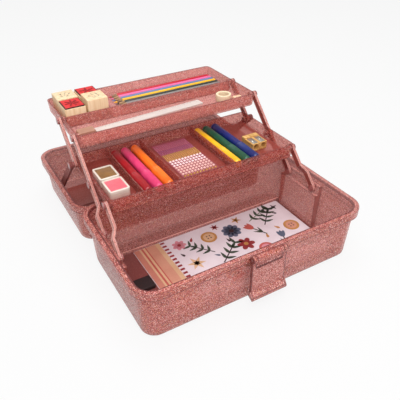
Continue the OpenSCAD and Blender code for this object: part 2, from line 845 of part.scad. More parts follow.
module gem_sheet() {
    x = (divider_x2 + divider_x3) / 2;
    y0 = lower_front_y + 16;
    y1 = lower_back_y - tray_edge_r;
    color([0.8, 0.6, 0.6]) translate([x, (y0 + y1) / 2, lower_floor_z])
        round_plate(sheet_w, y1 - y0, 0.8, 2);
}

// Double sharpener: a block of wood with two holes and a steel blade over each
sharpener_x = right_marker_x + 2 * marker_pitch + marker_d / 2 + 5 + sharpener_w / 2;
sharpener_y = lower_front_y + 28;
hole_d = 8;
hole_gap = sharpener_w / 2;
blade_z = lower_floor_z + sharpener_h - 1.5;
blade_len = sharpener_d * 0.6;

module sharpener_body() {
    top = lower_floor_z + sharpener_h;
    color(pale_wood) difference() {
        block([sharpener_x - sharpener_w / 2, sharpener_y, lower_floor_z],
            [sharpener_x + sharpener_w / 2, sharpener_y + sharpener_d, top]);
        for (s = [-1, 1])
            rod_y(hole_d, sharpener_x + s * hole_gap / 2, sharpener_y - 1, sharpener_y + sharpener_d * 0.7,
                lower_floor_z + sharpener_h / 2);
        // Flat seat for the blades
        block([sharpener_x - sharpener_w, sharpener_y - 1, blade_z],
            [sharpener_x + sharpener_w, sharpener_y + blade_len + 3, top + 1]);
    }
}

module sharpener_blades() {
    color(steel) for (s = [-1, 1])
        block([sharpener_x + s * hole_gap / 2 - 4, sharpener_y + 1.5, blade_z],
            [sharpener_x + s * hole_gap / 2 + 4, sharpener_y + 1.5 + blade_len, blade_z + 0.8]);
}

// Stamps: four wooden blocks in two rows, two of them with their rubber upwards
stamp_h = upper_rim_z + stamp_rise - upper_floor_z - rubber_t;
stamp_x0 = -upper_half + tray_edge_r + 0.6;
stamp_y0 = long_divider_y + divider_t / 2 + 1;
stamp_step_x = stamp_w + stamp_gap;
stamp_step_y = stamp_d + 1.5;

module stamp(ix, iy, h) {
    x = stamp_x0 + ix * stamp_step_x;
    y = stamp_y0 + iy * stamp_step_y;
    block([x, y, upper_floor_z], [x + stamp_w, y + stamp_d, upper_floor_z + h]);
}

module stamp_rubber(ix, iy) {
    x = stamp_x0 + ix * stamp_step_x;
    y = stamp_y0 + iy * stamp_step_y;
    z = upper_floor_z + stamp_h;
    block([x + 0.8, y + 0.8, z], [x + stamp_w - 0.8, y + stamp_d - 0.8, z + rubber_t]);
}

module stamp_front_left() {
    color(pale_wood) stamp(0, 0, stamp_h);
}
module stamp_front_right() {
    color(pale_wood) stamp(1, 0, stamp_h + rubber_t + stamp_tall);
}
module stamp_rear_left() {
    color(pale_wood) stamp(0, 1, stamp_h + rubber_t);
}
module stamp_rear_right() {
    color(pale_wood) stamp(1, 1, stamp_h);
}
module stamp_rubber_front() {
    color([0.8, 0.2, 0.2]) stamp_rubber(0, 0);
}
module stamp_rubber_rear() {
    color([0.8, 0.2, 0.2]) stamp_rubber(1, 1);
}

// A six-sided pencil along X with its point to the left
module pencil(i) {
    corner = pencil_d / 2 / cos(30);
    pitch = 2 * corner + 0.2;
    x0 = pencil_end - pencil_len;
    y = upper_back_y - tray_edge_r - pitch / 2 - i * pitch;
    r = pencil_d / 2;
    translate([x0, y, upper_floor_z + r]) rotate([0, 90, 0]) {
        translate([0, 0, pencil_tip]) rotate([0, 0, 30])
            cylinder(r = corner, h = pencil_len - pencil_tip, $fn = 6);
        cylinder(r1 = 0.4, r2 = r - 0.1, h = pencil_tip + eps);
    }
}

module pencil_red() {
    color([0.72, 0.15, 0.2]) pencil(0);
}
module pencil_pink() {
    color([0.88, 0.5, 0.62]) pencil(1);
}
module pencil_blue() {
    color([0.42, 0.48, 0.6]) pencil(2);
}
module pencil_yellow() {
    color([0.92, 0.74, 0.15]) pencil(3);
}
module pencil_green() {
    color([0.16, 0.2, 0.15]) pencil(4);
}
module pencil_grey() {
    color([0.55, 0.52, 0.5]) pencil(5);
}

eraser_x = -upper_half + eraser_side + eraser_w / 2;
ruler_x = eraser_x + eraser_w / 2 + 1 + ruler_len / 2;

module ruler() {
    color([0.88, 0.86, 0.84]) translate([ruler_x, upper_front_y + ruler_front, upper_floor_z])
        rotate([0, 0, ruler_turn]) round_plate(ruler_len, ruler_w, ruler_t, 1.5);
}

module tape_roll() {
    color(cream)
        translate([upper_half - roll_side - roll_d / 2, upper_front_y + roll_front, upper_floor_z])
            difference() {
                cylinder(d = roll_d, h = roll_h);
                translate([0, 0, -1]) cylinder(d = roll_hole_d, h = roll_h + 2);
            }
}

module wood_stick() {
    x = upper_half - 3;
    y = upper_front_y + roll_front - roll_d / 2 + 2;
    color(cream) block([x - stick_len, y, upper_floor_z], [x, y + stick_w, upper_floor_z + stick_w]);
}

module eraser() {
    color([0.82, 0.76, 0.72]) translate([eraser_x, upper_front_y + eraser_front, upper_floor_z])
        round_plate(eraser_w, eraser_d, eraser_h, 2);
}

card_x0 = -floor_half_w + card_left;
card_w = floor_half_w - edge_r - 3 - card_x0;
card_d = step_y - seat_gap + floor_half_d - card_front;

module sticker_card() {
    y1 = step_y - seat_gap;
    color([0.92, 0.88, 0.88]) translate([card_x0 + card_w / 2, y1 - card_d / 2, floor_t])
        round_plate(card_w, card_d, card_t, 2);
}

module charcoal_block() {
    color([0.1, 0.05, 0.05]) translate([card_x0 - charcoal_w / 2 - 2, -4, floor_t])
        round_plate(charcoal_w, charcoal_d, charcoal_h, 6);
}

base_bin();
hinge_pins();
base_pivot_pins();
latch_pins();
sticker_card();
charcoal_block();
lid_shell();
handle_pins();
carry_handle();
latch();
long_arm_left();
long_arm_right();
front_arm_left();
front_arm_right();
upper_arm_left();
upper_arm_right();
lid_link_left();
lid_link_right();
lower_tray();
lower_tray_pins();
lower_divider_left();
lower_divider_middle();
lower_divider_right();
ink_case_gold();
ink_case_coral();
ink_felt_gold();
ink_felt_coral();
marker_red();
marker_pink();
marker_orange();
marker_yellow();
marker_green();
marker_blue();
gem_sheet();
sharpener_body();
sharpener_blades();
upper_tray();
upper_tray_pins();
upper_long_divider();
upper_cross_divider();
stamp_front_left();
stamp_front_right();
stamp_rear_left();
stamp_rear_right();
stamp_rubber_front();
stamp_rubber_rear();
pencil_red();
pencil_pink();
pencil_blue();
pencil_yellow();
pencil_green();
pencil_grey();
ruler();
tape_roll();
wood_stick();
eraser();
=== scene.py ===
"""The looks of a rose glitter art box: an open case with two stepped trays and its supplies."""

import math
from functools import cached_property

import bmesh
import bpy
from mathutils import Matrix, Vector


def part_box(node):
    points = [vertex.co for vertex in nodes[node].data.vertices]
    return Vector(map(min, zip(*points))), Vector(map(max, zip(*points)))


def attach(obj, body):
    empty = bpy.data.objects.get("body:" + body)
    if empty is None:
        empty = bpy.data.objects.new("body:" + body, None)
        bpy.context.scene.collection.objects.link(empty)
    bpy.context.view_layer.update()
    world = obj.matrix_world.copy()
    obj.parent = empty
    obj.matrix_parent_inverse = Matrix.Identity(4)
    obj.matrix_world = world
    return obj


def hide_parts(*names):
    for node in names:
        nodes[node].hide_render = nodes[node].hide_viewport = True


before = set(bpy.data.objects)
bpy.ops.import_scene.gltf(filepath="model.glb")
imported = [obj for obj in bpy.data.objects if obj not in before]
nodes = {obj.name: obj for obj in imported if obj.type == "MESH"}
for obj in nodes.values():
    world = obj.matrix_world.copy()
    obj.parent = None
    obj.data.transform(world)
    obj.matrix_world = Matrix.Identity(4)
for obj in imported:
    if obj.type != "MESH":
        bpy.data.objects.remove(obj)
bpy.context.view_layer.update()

MM = 0.001
SOCKETS = {
    "colour": "Base Color",
    "rough": "Roughness",
    "metal": "Metallic",
    "coat": "Coat Weight",
    "coat_rough": "Coat Roughness",
    "alpha": "Alpha",
    "normal": "Normal",
    "sheen": "Sheen Weight",
}


def tint(red, green, blue):
    """A colour as seen on the screen, from 0 to 255, as the linear one that a shader takes."""
    parts = []
    for level in (red, green, blue):
        v = level / 255
        parts.append(v / 12.92 if v <= 0.04045 else ((v + 0.055) / 1.055) ** 2.4)
    return (*parts, 1.0)


def corners(node):
    """The low and the high corner of a part of the model."""
    return [Vector(corner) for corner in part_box(node)]


# Shader expressions


def maths(operation, swapped=False):
    """A method of Wire that adds a maths node."""
    def method(wire, other=None):
        terms = [wire] if other is None else [other, wire] if swapped else [wire, other]
        return wire.finish.node("ShaderNodeMath", {"operation": operation}, dict(enumerate(terms)))
    return method


class Wire:
    """The value of a socket, so that shader maths reads as an expression."""

    def __init__(self, finish, socket):
        self.finish = finish
        self.socket = socket

    __add__ = __radd__ = maths("ADD")
    __sub__, __rsub__ = maths("SUBTRACT"), maths("SUBTRACT", swapped=True)
    __mul__ = __rmul__ = maths("MULTIPLY")
    __gt__, __lt__ = maths("GREATER_THAN"), maths("LESS_THAN")
    __or__ = maths("MAXIMUM")
    __abs__, root, wave = maths("ABSOLUTE"), maths("SQRT"), maths("SINE")


def within(value, low, high):
    """1 between two levels and 0 elsewhere."""
    return (value > low) * (value < high)


def reach_of(x, y):
    """How far a place is from the middle."""
    return (x * x + y * y).root()


class Finish:
    """One material, made node by node."""

    def __init__(self, name):
        self.material = bpy.data.materials.new(name)
        self.material.use_nodes = True
        self.tree = self.material.node_tree
        self.shader = self.tree.nodes["Principled BSDF"]

    def plug(self, socket, value):
        if isinstance(value, Wire):
            self.tree.links.new(value.socket, socket)
        else:
            socket.default_value = value

    def node(self, kind, settings=None, inputs=None, out=0):
        made = self.tree.nodes.new(kind)
        for key, value in (settings or {}).items():
            setattr(made, key, value)
        for key, value in (inputs or {}).items():
            self.plug(made.inputs[key], value)
        return Wire(self, made.outputs[out])

    def set(self, **values):
        for key, value in values.items():
            self.plug(self.shader.inputs[SOCKETS[key]], value)
        return self.material

    @cached_property
    def here(self):
        return self.node("ShaderNodeTexCoord", out="Object")

    def axes(self, vector):
        split = self.tree.nodes.new("ShaderNodeSeparateXYZ")
        self.plug(split.inputs[0], vector)
        return [Wire(self, socket) for socket in split.outputs]

    def noise(self, scale, detail=3.0):
        """Noise of one grain, or of three grains along the axes."""
        place = self.here
        if isinstance(scale, tuple):
            place = self.node("ShaderNodeMapping", None, {"Vector": place, "Scale": scale})
            scale = 1.0
        inputs = {"Vector": place, "Scale": scale, "Detail": detail}
        return self.node("ShaderNodeTexNoise", None, inputs)

    def spots(self, scale):
        """The distance from the middle of each cell, and the cell's own random colour."""
        far = self.node("ShaderNodeTexVoronoi", None, {"Vector": self.here, "Scale": scale})
        return far, Wire(self, far.socket.node.outputs["Color"])

    def vector(self, operation, first, second=None, out="Vector"):
        inputs = {0: first} if second is None else {0: first, 1: second}
        return self.node("ShaderNodeVectorMath", {"operation": operation}, inputs, out)

    def steps(self, value, stops):
        """The colour of the step that a value falls in."""
        colour = self.node("ShaderNodeValToRGB", None, {0: value})
        ramp = colour.socket.node.color_ramp
        ramp.interpolation = "CONSTANT"
        while len(ramp.elements) < len(stops):
            ramp.elements.new(1.0)
        for element, (place, tone) in zip(ramp.elements, stops):
            element.position = place
            element.color = tone
        return colour

    def mix(self, first, second, share):
        inputs = {0: share, 6: first, 7: second}
        return self.node("ShaderNodeMix", {"data_type": "RGBA"}, inputs, 2)

    def between(self, value, low, high):
        settings = {"interpolation_type": "SMOOTHSTEP"}
        inputs = {0: value, 1: low, 2: high, 3: 0.0, 4: 1.0}
        return self.node("ShaderNodeMapRange", settings, inputs)

    def blend(self, share, other):
        """Mixes a share of another shader into the surface."""
        plain = Wire(self, self.shader.outputs[0])
        both = self.node("ShaderNodeMixShader", None, {0: share, 1: plain, 2: other})
        self.plug(self.tree.nodes["Material Output"].inputs["Surface"], both)
        return self.material

    def bump(self, height, strength, depth):
        inputs = {"Strength": strength, "Distance": depth, "Height": height}
        return self.node("ShaderNodeBump", None, inputs)


# The glitter plastic

CLOUD_GRAIN, DEPOSIT_GRAIN, FLAKE_GRAIN, DUST_GRAIN = 24.0, 560.0, 1120.0, 1900.0
EDGE_ROUND = 1.1 * MM
ROSE_LIGHT = (0.95, 0.64, 0.6, 1)
DEPTH = tint(142, 54, 54)
BARE_AND_SHADE = tint(146, 62, 54)
PAINTED_LIGHT_TONE = tint(250, 206, 202)
# A darker tone for feet, rims and rounded edges, also used as painted shade in gaps
EDGE = tint(106, 42, 46)
DUST = [
    (0.0, tint(196, 104, 98)),
    (0.3, tint(230, 150, 140)),
    (0.6, tint(128, 46, 52)),
    (0.8, tint(212, 134, 102)),
]
FLECKS = [
    (0.0, tint(214, 132, 124)),
    (0.24, tint(250, 184, 174)),
    (0.44, tint(172, 80, 80)),
    (0.6, tint(230, 160, 116)),
    (0.72, tint(112, 34, 42)),
    (0.86, tint(255, 214, 204)),
]


def glitter_plastic(
    name, body, deep, plain_cover, bare=None, edges=None, sparse=0.12, corner=EDGE, flecked=1.0,
    coat=0.5, rough=0.34, through=0.7, pale=0.0,
):
    """Clear rose plastic full of fine flecks.

    plain_cover is how much the plastic between the flecks hides. bare gives the share of each place
    that has few flecks and a darker tone, which on the pivot pads, the lower tray's floor and the
    arms' channels is painted shade. edges gives the share with a darker tone at feet and rims, and
    painted shade lines in the gaps at the mouth's ledge, the knuckle and the latch. A higher sparse
    leaves more clear plastic between the flecks. corner is the tone of the plastic's rounded edges,
    a painted highlight on the arms, flecked the strength of the flecks, coat that of the gloss,
    rough how dull the plastic is, through how much of the light behind it shows and pale how much
    lighter its colours are, painted light on the upper tray.
    """
    f = Finish(name)
    axes = f.axes(f.here)
    cloud = f.noise(CLOUD_GRAIN, 2.0)
    deposit = f.noise(DEPOSIT_GRAIN, 2.0)
    flake_far, flake_mark = f.spots(FLAKE_GRAIN)
    dust_far, dust_mark = f.spots(DUST_GRAIN)
    flake, dust = f.axes(flake_mark), f.axes(dust_mark)
    fleck = f.between(flake_far, 0.56, 0.46) * f.between(flake[0], sparse, sparse + 0.08) * flecked
    speck = f.between(dust_far, 0.58, 0.46) * f.between(dust[0], sparse, sparse + 0.08) * flecked
    colour = f.mix(body, deep, f.between(cloud, 0.32, 0.68))
    colour = f.mix(colour, DEPTH, f.between(deposit, 0.48, 0.6) * 0.7 * flecked)
    # Fewer flecks and a darker tone; on the pivot pads, the lower tray's floor and the arms'
    # channels it is painted shade
    if bare:
        few = bare(f, axes)
        fleck, speck = (share * (1 - few * 0.85) for share in (fleck, speck))
        colour = f.mix(colour, BARE_AND_SHADE, few)
    colour = f.mix(colour, f.steps(dust[1], DUST), speck * 0.8)
    colour = f.mix(colour, f.steps(flake[1], FLECKS), fleck * 0.9)
    # Lighter colours painted in as painted light
    if pale:
        colour = f.mix(colour, PAINTED_LIGHT_TONE, pale)
    # A darker tone at feet and rims, and painted shade lines in the gaps of the ledge, the knuckle
    # and the latch
    if edges:
        colour = f.mix(colour, EDGE, edges(f, axes) * 0.55)
    clear = (1 - plain_cover) * (1 - (fleck * 0.85 | speck * 0.5))
    if bare:
        clear = clear * (1 - few * 0.75)
    round_edges = f.node("ShaderNodeBevel", {"samples": 4}, {"Radius": EDGE_ROUND})
    flat_normal = f.node("ShaderNodeNewGeometry", out="Normal")
    turned_by = f.vector("DOT_PRODUCT", round_edges, flat_normal, "Value")
    rounded = f.between(turned_by, 0.998, 0.92)
    # Rounded edges take the corner tone: a darker tone, and on the arms a painted highlight
    colour = f.mix(colour, corner, rounded * 0.9)
    clear = clear * (1 - rounded * 0.6)
    tilt = f.vector("SUBTRACT", flake_mark, (0.5, 0.5, 0.5))
    tilt_inputs = {0: tilt, "Scale": fleck * 0.9}
    tilt = f.node("ShaderNodeVectorMath", {"operation": "SCALE"}, tilt_inputs)
    f.set(
        colour=colour,
        rough=rough - fleck * 0.1,
        metal=fleck * 0.25,
        alpha=1 - clear * 0.45,
        normal=f.vector("NORMALIZE", f.vector("ADD", round_edges, tilt)),
        coat=coat,
        coat_rough=0.06,
    )
    straight = f.node("ShaderNodeBsdfTransparent", None, {"Color": ROSE_LIGHT})
    return f.blend(clear * through, straight)


# Where the plastic has few flecks, darker tones and painted shade lines, in the places of the open
# box

FLOOR_TOP = (3.0 * MM, 3.6 * MM)
PAD_FRONT, PAD_TOP, PAD_SIDE = -17 * MM, 65.4 * MM, (132.3 * MM, 142.2 * MM)
PANEL_HALF, PANEL_FRONT, PANEL_BACK, PANEL_TOP = 131 * MM, -17 * MM, 42 * MM, 6.6 * MM
TRAY_FOOT, TRAY_BRIM = 1.2 * MM, 0.25 * MM
ARM_LINES, ARM_WEB = (-65.2 * MM, -16.7 * MM, 38.3 * MM), 2.9 * MM * math.sqrt(2)
# Each shell's middle, its height and the line under its rim
SHELLS = {
    "base_bin": (0.0, 72 * MM, (62.6 * MM, 64.2 * MM)),
    "lid_shell": (188 * MM, 58 * MM, (48.6 * MM, 50.2 * MM)),
}
SHELL_FOOT, LEDGE, BRIM = 2.4 * MM, (2 * MM, 0.3 * MM), 1.1 * MM
MOUTH, MOUTH_ROUND = (143.9 * MM, 82.4 * MM), 19.9 * MM
KNUCKLE_LINE, KNUCKLE_FRONT = (58.9 * MM, 60.2 * MM), -91 * MM
LATCH_HALF, LATCH_WINDOW = 22.5 * MM, 17.5 * MM
LATCH_SIDE, LATCH_SILL, LATCH_LIP = 1.1 * MM, (57.1 * MM, 58.5 * MM), (18.3 * MM, 19.5 * MM)
STRONG = 1.5


def bare_floor_and_shaded_pads(f, axes):
    """Few flecks and a darker tone on the bin's floor, and as painted shade on the pivot pads'
    front faces.
    """
    x, y, z = axes
    floor = 1 - f.between(z, *FLOOR_TOP)
    pad = (abs(y - PAD_FRONT) < 0.2 * MM) * within(abs(x), *PAD_SIDE)
    return floor | pad * (z < PAD_TOP)


def bare_panel(f, axes):
    """Few flecks on the raised panel inside the lid, round the handle."""
    x, y, z = axes
    handle = corners("carry_handle")[0].y
    panel = (abs(x) < PANEL_HALF) * within(y, handle + PANEL_FRONT, handle + PANEL_BACK)
    return panel * within(z, 0.0, PANEL_TOP)


def shaded_bare_tray_floor(f, axes):
    """Few flecks and a darker tone on the floor of the lower tray, as painted shade."""
    floor = corners("gem_sheet")[0].z
    return within(axes[2], floor - 0.4 * MM, floor + 0.3 * MM)


def arm_web_shade(f, axes):
    """The sunk middle of the channel arms, which all lean 45 degrees when open, painted darker as
    shade.
    """
    lean = axes[1] - axes[2]
    marks = [abs(lean - line) < ARM_WEB for line in ARM_LINES]
    return marks[0] | marks[1] | marks[2]


def tray_edges(part):
    """The foot of a tray and the top of its rim."""
    low, high = (corner.z for corner in corners(part))

    def share(f, axes):
        foot = within(axes[2], low - 1 * MM, low + TRAY_FOOT)
        return foot | within(axes[2], high - TRAY_BRIM, high + 1 * MM)
    return share


def shell_edges_and_gap_shade(part):
    """The foot of a shell and the underside of its rim, and painted shade lines at its mouth's
    ledge and knuckle.
    """
    middle, top, under_rim = SHELLS[part]

    def share(f, axes):
        x, y, z = axes
        bands = within(z, -1 * MM, SHELL_FOOT) | within(z, *under_rim)
        over_x = (abs(x) - (MOUTH[0] - MOUTH_ROUND)) | 0.0
        over_y = (abs(y - middle) - (MOUTH[1] - MOUTH_ROUND)) | 0.0
        outside = reach_of(over_x, over_y) - MOUTH_ROUND
        # Painted shade: dark lines on the hidden ledge inside the mouth and on the rim top along
        # its edge
        ledge = within(z, top - LEDGE[0], top - LEDGE[1]) * (outside < 0.2 * MM)
        lines = ledge | within(outside, 0.0, BRIM) * (z > top - LEDGE[1])
        if part == "base_bin":
            # Painted shadow line in the gap at the latch's knuckle
            knuckle = within(z, *KNUCKLE_LINE) * (abs(x) < LATCH_WINDOW) * (y < KNUCKLE_FRONT)
            lines = lines | knuckle
        return bands | lines * STRONG
    return share


def latch_shadow_lines(f, axes):
    """Painted shadow lines in the latch's gaps: round its window, along its two sides and at its
    finger lip.
    """
    side, height = abs(axes[0]), axes[2]
    lines = within(side, LATCH_HALF - LATCH_SIDE, LATCH_HALF + 0.1 * MM)
    lines = lines | within(height, *LATCH_SILL) * (side < LATCH_WINDOW)
    lines = lines | (abs(side - LATCH_WINDOW) < 0.7 * MM) * (height > LATCH_SILL[0])
    return (lines | within(height, *LATCH_LIP)) * STRONG


# Other finishes


def pale_wood(name, light, dark, along):
    f = Finish(name)
    scale = {"x": (14, 260, 260), "y": (260, 14, 260), "z": (260, 260, 14)}[along]
    grain = f.noise(scale, 4.0)
    rings = f.noise(tuple(v * 3.2 for v in scale), 2.0)
    return f.set(
        colour=f.mix(light, dark, f.between(grain * 0.7 + rings * 0.3, 0.36, 0.66)),
        rough=0.52 + rings * 0.16,
        normal=f.bump(rings, 0.22, 0.2 * MM),
    )


def smooth_plastic(name, colour, shade, gloss=0.3, clear=0.3):
    """Moulded plastic with a faint mottle and handling marks."""
    f = Finish(name)
    mottle = f.noise(90.0)
    scuffs = f.noise((600, 90, 600), 2.0)
    return f.set(
        colour=f.mix(colour, shade, f.between(mottle, 0.35, 0.75) * 0.6),
        rough=gloss + scuffs * 0.14,
        normal=f.bump(mottle, 0.05, 0.3 * MM),
        coat=clear,
        coat_rough=0.12,
    )


def lacquer(name, colour, shade):
    f = Finish(name)
    streak = f.noise((40, 700, 700))
    nicks = f.between(f.noise(420.0, 2.0), 0.7, 0.76)
    worn = f.mix(colour, tint(214, 176, 140), nicks * 0.5)
    return f.set(
        colour=f.mix(worn, shade, f.between(streak, 0.4, 0.8) * 0.5),
        rough=0.26 + streak * 0.12,
        normal=f.bump(streak, 0.08, 0.2 * MM),
        coat=0.5,
        coat_rough=0.1,
    )


def coloured_lead(name, colour, shade):
    f = Finish(name)
    crumb = f.noise(1800.0)
    return f.set(
        colour=f.mix(colour, shade, crumb),
        rough=0.6 + crumb * 0.2,
        normal=f.bump(crumb, 0.3, 0.1 * MM),
    )


def inked_felt(name, colour, shade):
    f = Finish(name)
    fibre = f.noise(1500.0, 4.0)
    pools = f.noise(130.0, 2.0)
    return f.set(
        colour=f.mix(colour, shade, f.between(fibre * 0.5 + pools * 0.5, 0.35, 0.65)),
        rough=0.62 + fibre * 0.25,
        normal=f.bump(fibre, 0.4, 0.3 * MM),
        sheen=0.25,
    )


def paper(name, colour, shade):
    f = Finish(name)
    fibre = f.noise(900.0, 4.0)
    tone = f.noise(40.0, 2.0)
    return f.set(
        colour=f.mix(colour, shade, f.between(fibre * 0.4 + tone * 0.6, 0.35, 0.7)),
        rough=0.5 + fibre * 0.2,
        normal=f.bump(fibre, 0.06, 0.1 * MM),
        coat=0.2,
        coat_rough=0.3,
    )


def cut_rubber(name, colour, shade):
    f = Finish(name)
    wipe = f.noise((300, 90, 300))
    grit = f.noise(1600.0, 2.0)
    return f.set(
        colour=f.mix(colour, shade, f.between(wipe, 0.4, 0.7)),
        rough=0.48 + grit * 0.25,
        normal=f.bump(grit, 0.18, 0.1 * MM),
    )


def pin_metal(name, colour, shade, gloss):
    f = Finish(name)
    lines = f.noise((120, 1400, 1400))
    return f.set(
        colour=f.mix(colour, shade, lines),
        metal=1.0,
        rough=gloss + lines * 0.15,
        normal=f.bump(lines, 0.05, 0.1 * MM),
    )


def charcoal(name):
    f = Finish(name)
    dust = f.noise(700.0, 4.0)
    return f.set(
        colour=f.mix(tint(30, 10, 12), tint(52, 26, 28), f.between(dust, 0.4, 0.75)),
        rough=0.7 + dust * 0.2,
        normal=f.bump(dust, 0.4, 0.4 * MM),
    )


def milky_plastic(name):
    f = Finish(name)
    haze = f.noise(60.0)
    bits = f.between(f.noise(900.0, 2.0), 0.62, 0.7)
    milk = f.mix(tint(222, 214, 208), tint(206, 192, 186), haze)
    return f.set(
        colour=f.mix(milk, tint(236, 230, 224), bits * 0.5),
        rough=0.3 + haze * 0.12,
        normal=f.bump(haze, 0.04, 0.3 * MM),
        coat=0.3,
        coat_rough=0.15,
    )


def wound_tape(name, middle):
    """Cream tape, with the edges of its turns showing round the hole."""
    f = Finish(name)
    x, y, z = f.axes(f.here)
    turns = (reach_of(x - middle.x, y - middle.y) * 9000.0).wave() * 0.5 + 0.5
    fibre = f.noise(1200.0)
    return f.set(
        colour=f.mix(tint(240, 222, 190), tint(222, 196, 158), turns * 0.35 + fibre * 0.4),
        rough=0.5 + fibre * 0.2,
        normal=f.bump(turns, 0.1, 0.1 * MM),
    )


def gem_gloss(name, colour, shade, metal=0.0):
    f = Finish(name)
    milk = f.noise(500.0, 2.0)
    return f.set(
        colour=f.mix(colour, shade, milk),
        rough=0.16 + milk * 0.1,
        metal=metal,
        coat=0.8,
        coat_rough=0.06,
        normal=f.bump(milk, 0.05, 0.1 * MM),
    )


ROSE = (tint(198, 100, 94), tint(178, 80, 76))
rose_base = glitter_plastic("rose_glitter_base", *ROSE, 0.26, bare_floor_and_shaded_pads, shell_edges_and_gap_shade("base_bin"))
rose_lid = glitter_plastic("rose_glitter_lid", *ROSE, 0.24, bare_panel, shell_edges_and_gap_shade("lid_shell"))
rose_handle = glitter_plastic("rose_glitter_handle", *ROSE, 0.5)
rose_tray = glitter_plastic(
    "rose_glitter_tray", *ROSE, 0.05, shaded_bare_tray_floor, tray_edges("lower_tray"),
    sparse=0.3, through=0.85,
)
# The upper tray: the same plastic as the lower tray, painted lighter as painted light
rose_upper_lit = glitter_plastic(
    "rose_glitter_upper_lit", tint(232, 140, 130), tint(214, 118, 110), 0.16,
    edges=tray_edges("upper_tray"), sparse=0.25, through=0.85, pale=0.16,
)
rose_latch = glitter_plastic(
    "rose_glitter_latch", tint(190, 104, 92), tint(172, 86, 78), 0.5, edges=latch_shadow_lines
)
# The arms: painted shade in their channels and a painted highlight on their rounded edges
rose_arm = glitter_plastic(
    "rose_glitter_arm", tint(224, 156, 146), tint(206, 134, 126), 0.75, arm_web_shade,
    corner=tint(244, 202, 192), flecked=0.5,
)
dark_link = glitter_plastic(
    "rose_glitter_link", tint(136, 60, 58), tint(116, 48, 48), 0.85,
    flecked=0.3, coat=0.0, rough=0.75,
)
rose_rivet = glitter_plastic("rose_rivet", tint(168, 84, 82), tint(148, 70, 70), 0.9, flecked=0.4)
bright_pin = pin_metal("bright_pin", tint(206, 204, 204), tint(168, 166, 168), 0.24)
blade_steel = pin_metal("blade_steel", tint(232, 226, 214), tint(190, 184, 176), 0.2)
stamp_wood = pale_wood("stamp_maple", tint(236, 210, 174), tint(222, 188, 146), "z")
stick_wood = pale_wood("stick_birch", tint(244, 214, 182), tint(226, 184, 148), "x")
pencil_wood = pale_wood("pencil_cedar", tint(170, 132, 94), tint(112, 82, 58), "x")
sharpener_wood = pale_wood("sharpener_beech", tint(222, 178, 110), tint(182, 130, 66), "y")
cream_case = smooth_plastic("cream_case", tint(226, 216, 204), tint(208, 194, 182), 0.26, 0.5)
soft_eraser = smooth_plastic("soft_eraser", tint(176, 132, 110), tint(160, 112, 94), 0.6, 0.0)
stamp_red = cut_rubber("stamp_red", tint(214, 46, 48), tint(184, 28, 32))
stamp_line = cut_rubber("stamp_line", tint(150, 24, 28), tint(128, 16, 20))
stamp_edge = cut_rubber("stamp_edge", tint(70, 22, 20), tint(46, 14, 14))
print_grey = paper("print_grey", tint(146, 138, 116), tint(166, 156, 130))
card_white = paper("card_white", tint(226, 212, 218), tint(214, 198, 204))
charcoal_black = charcoal("charcoal_black")
milky_ruler = milky_plastic("milky_ruler")
tick_grey = paper("tick_grey", tint(150, 138, 134), tint(166, 154, 150))

PRINTS = {
    "coral": paper("print_coral", tint(190, 88, 78), tint(172, 72, 66)),
    "red": paper("print_red", tint(150, 38, 42), tint(130, 28, 34)),
    "pink": paper("print_pink", tint(214, 138, 148), tint(196, 118, 130)),
    "leaf": paper("print_leaf", tint(56, 70, 50), tint(40, 52, 38)),
    "sage": paper("print_sage", tint(110, 122, 96), tint(90, 104, 82)),
    "slate": paper("print_slate", tint(92, 98, 118), tint(74, 82, 102)),
    "ochre": paper("print_ochre", tint(190, 134, 72), tint(170, 112, 56)),
    "sand": paper("print_sand", tint(214, 174, 138), tint(200, 154, 118)),
    "ink": paper("print_ink", tint(44, 24, 30), tint(58, 34, 38)),
    "peach": paper("print_peach", tint(206, 146, 122), tint(192, 128, 106)),
    "blush": paper("print_blush", tint(196, 124, 106), tint(180, 106, 90)),
}


# Modelling


def deselect():
    if bpy.context.object and bpy.context.object.mode != "OBJECT":
        bpy.ops.object.mode_set(mode="OBJECT")
    bpy.ops.object.select_all(action="DESELECT")


def hold(piece):
    """Makes a piece the only selected one."""
    deselect()
    bpy.context.view_layer.objects.active = piece
    piece.select_set(True)


def named(name):
    piece = bpy.context.object
    piece.name = name
    piece.data.name = name
    return piece


def settle():
    """Puts a new primitive's place, turn and size into its mesh."""
    bpy.ops.object.transform_apply(location=True, rotation=True, scale=True)


def edit(piece):
    hold(piece)
    bpy.ops.object.mode_set(mode="EDIT")
    bpy.ops.mesh.select_mode(type="FACE")
    bpy.ops.mesh.select_all(action="SELECT")


def done():
    bpy.ops.object.mode_set(mode="OBJECT")


def pick(piece, kind, test):
    """Selects the faces or edges that pass a test, in edit mode."""
    bpy.ops.mesh.select_mode(type=kind)
    bpy.ops.mesh.select_all(action="DESELECT")
    mesh = bmesh.from_edit_mesh(piece.data)
    for part in mesh.faces if kind == "FACE" else mesh.edges:
        part.select = test(part)
    mesh.select_flush_mode()
    bmesh.update_edit_mesh(piece.data)


def pick_faces(piece, test):
    """Selects the faces whose middle and normal pass a test."""
    pick(piece, "FACE", lambda face: test(face.calc_center_median(), face.normal))


def pick_edges(piece, test):
    """Selects the edges whose two ends pass a test."""
    pick(piece, "EDGE", lambda edge: test(edge.verts[0].co, edge.verts[1].co))


def upright(a, b):
    return abs(a.x - b.x) + abs(a.y - b.y) < 1e-5


def level(a, b):
    return abs(a.z - b.z) < 1e-6


def bevel(offset, segments=2):
    bpy.ops.mesh.bevel(offset=offset, segments=segments, affect="EDGES", clamp_overlap=True)


def tidy_normals():
    bpy.ops.mesh.select_all(action="SELECT")
    bpy.ops.mesh.remove_doubles(threshold=0.002 * MM)
    bpy.ops.mesh.normals_make_consistent(inside=False)


def mend(piece):
    edit(piece)
    tidy_normals()
    done()


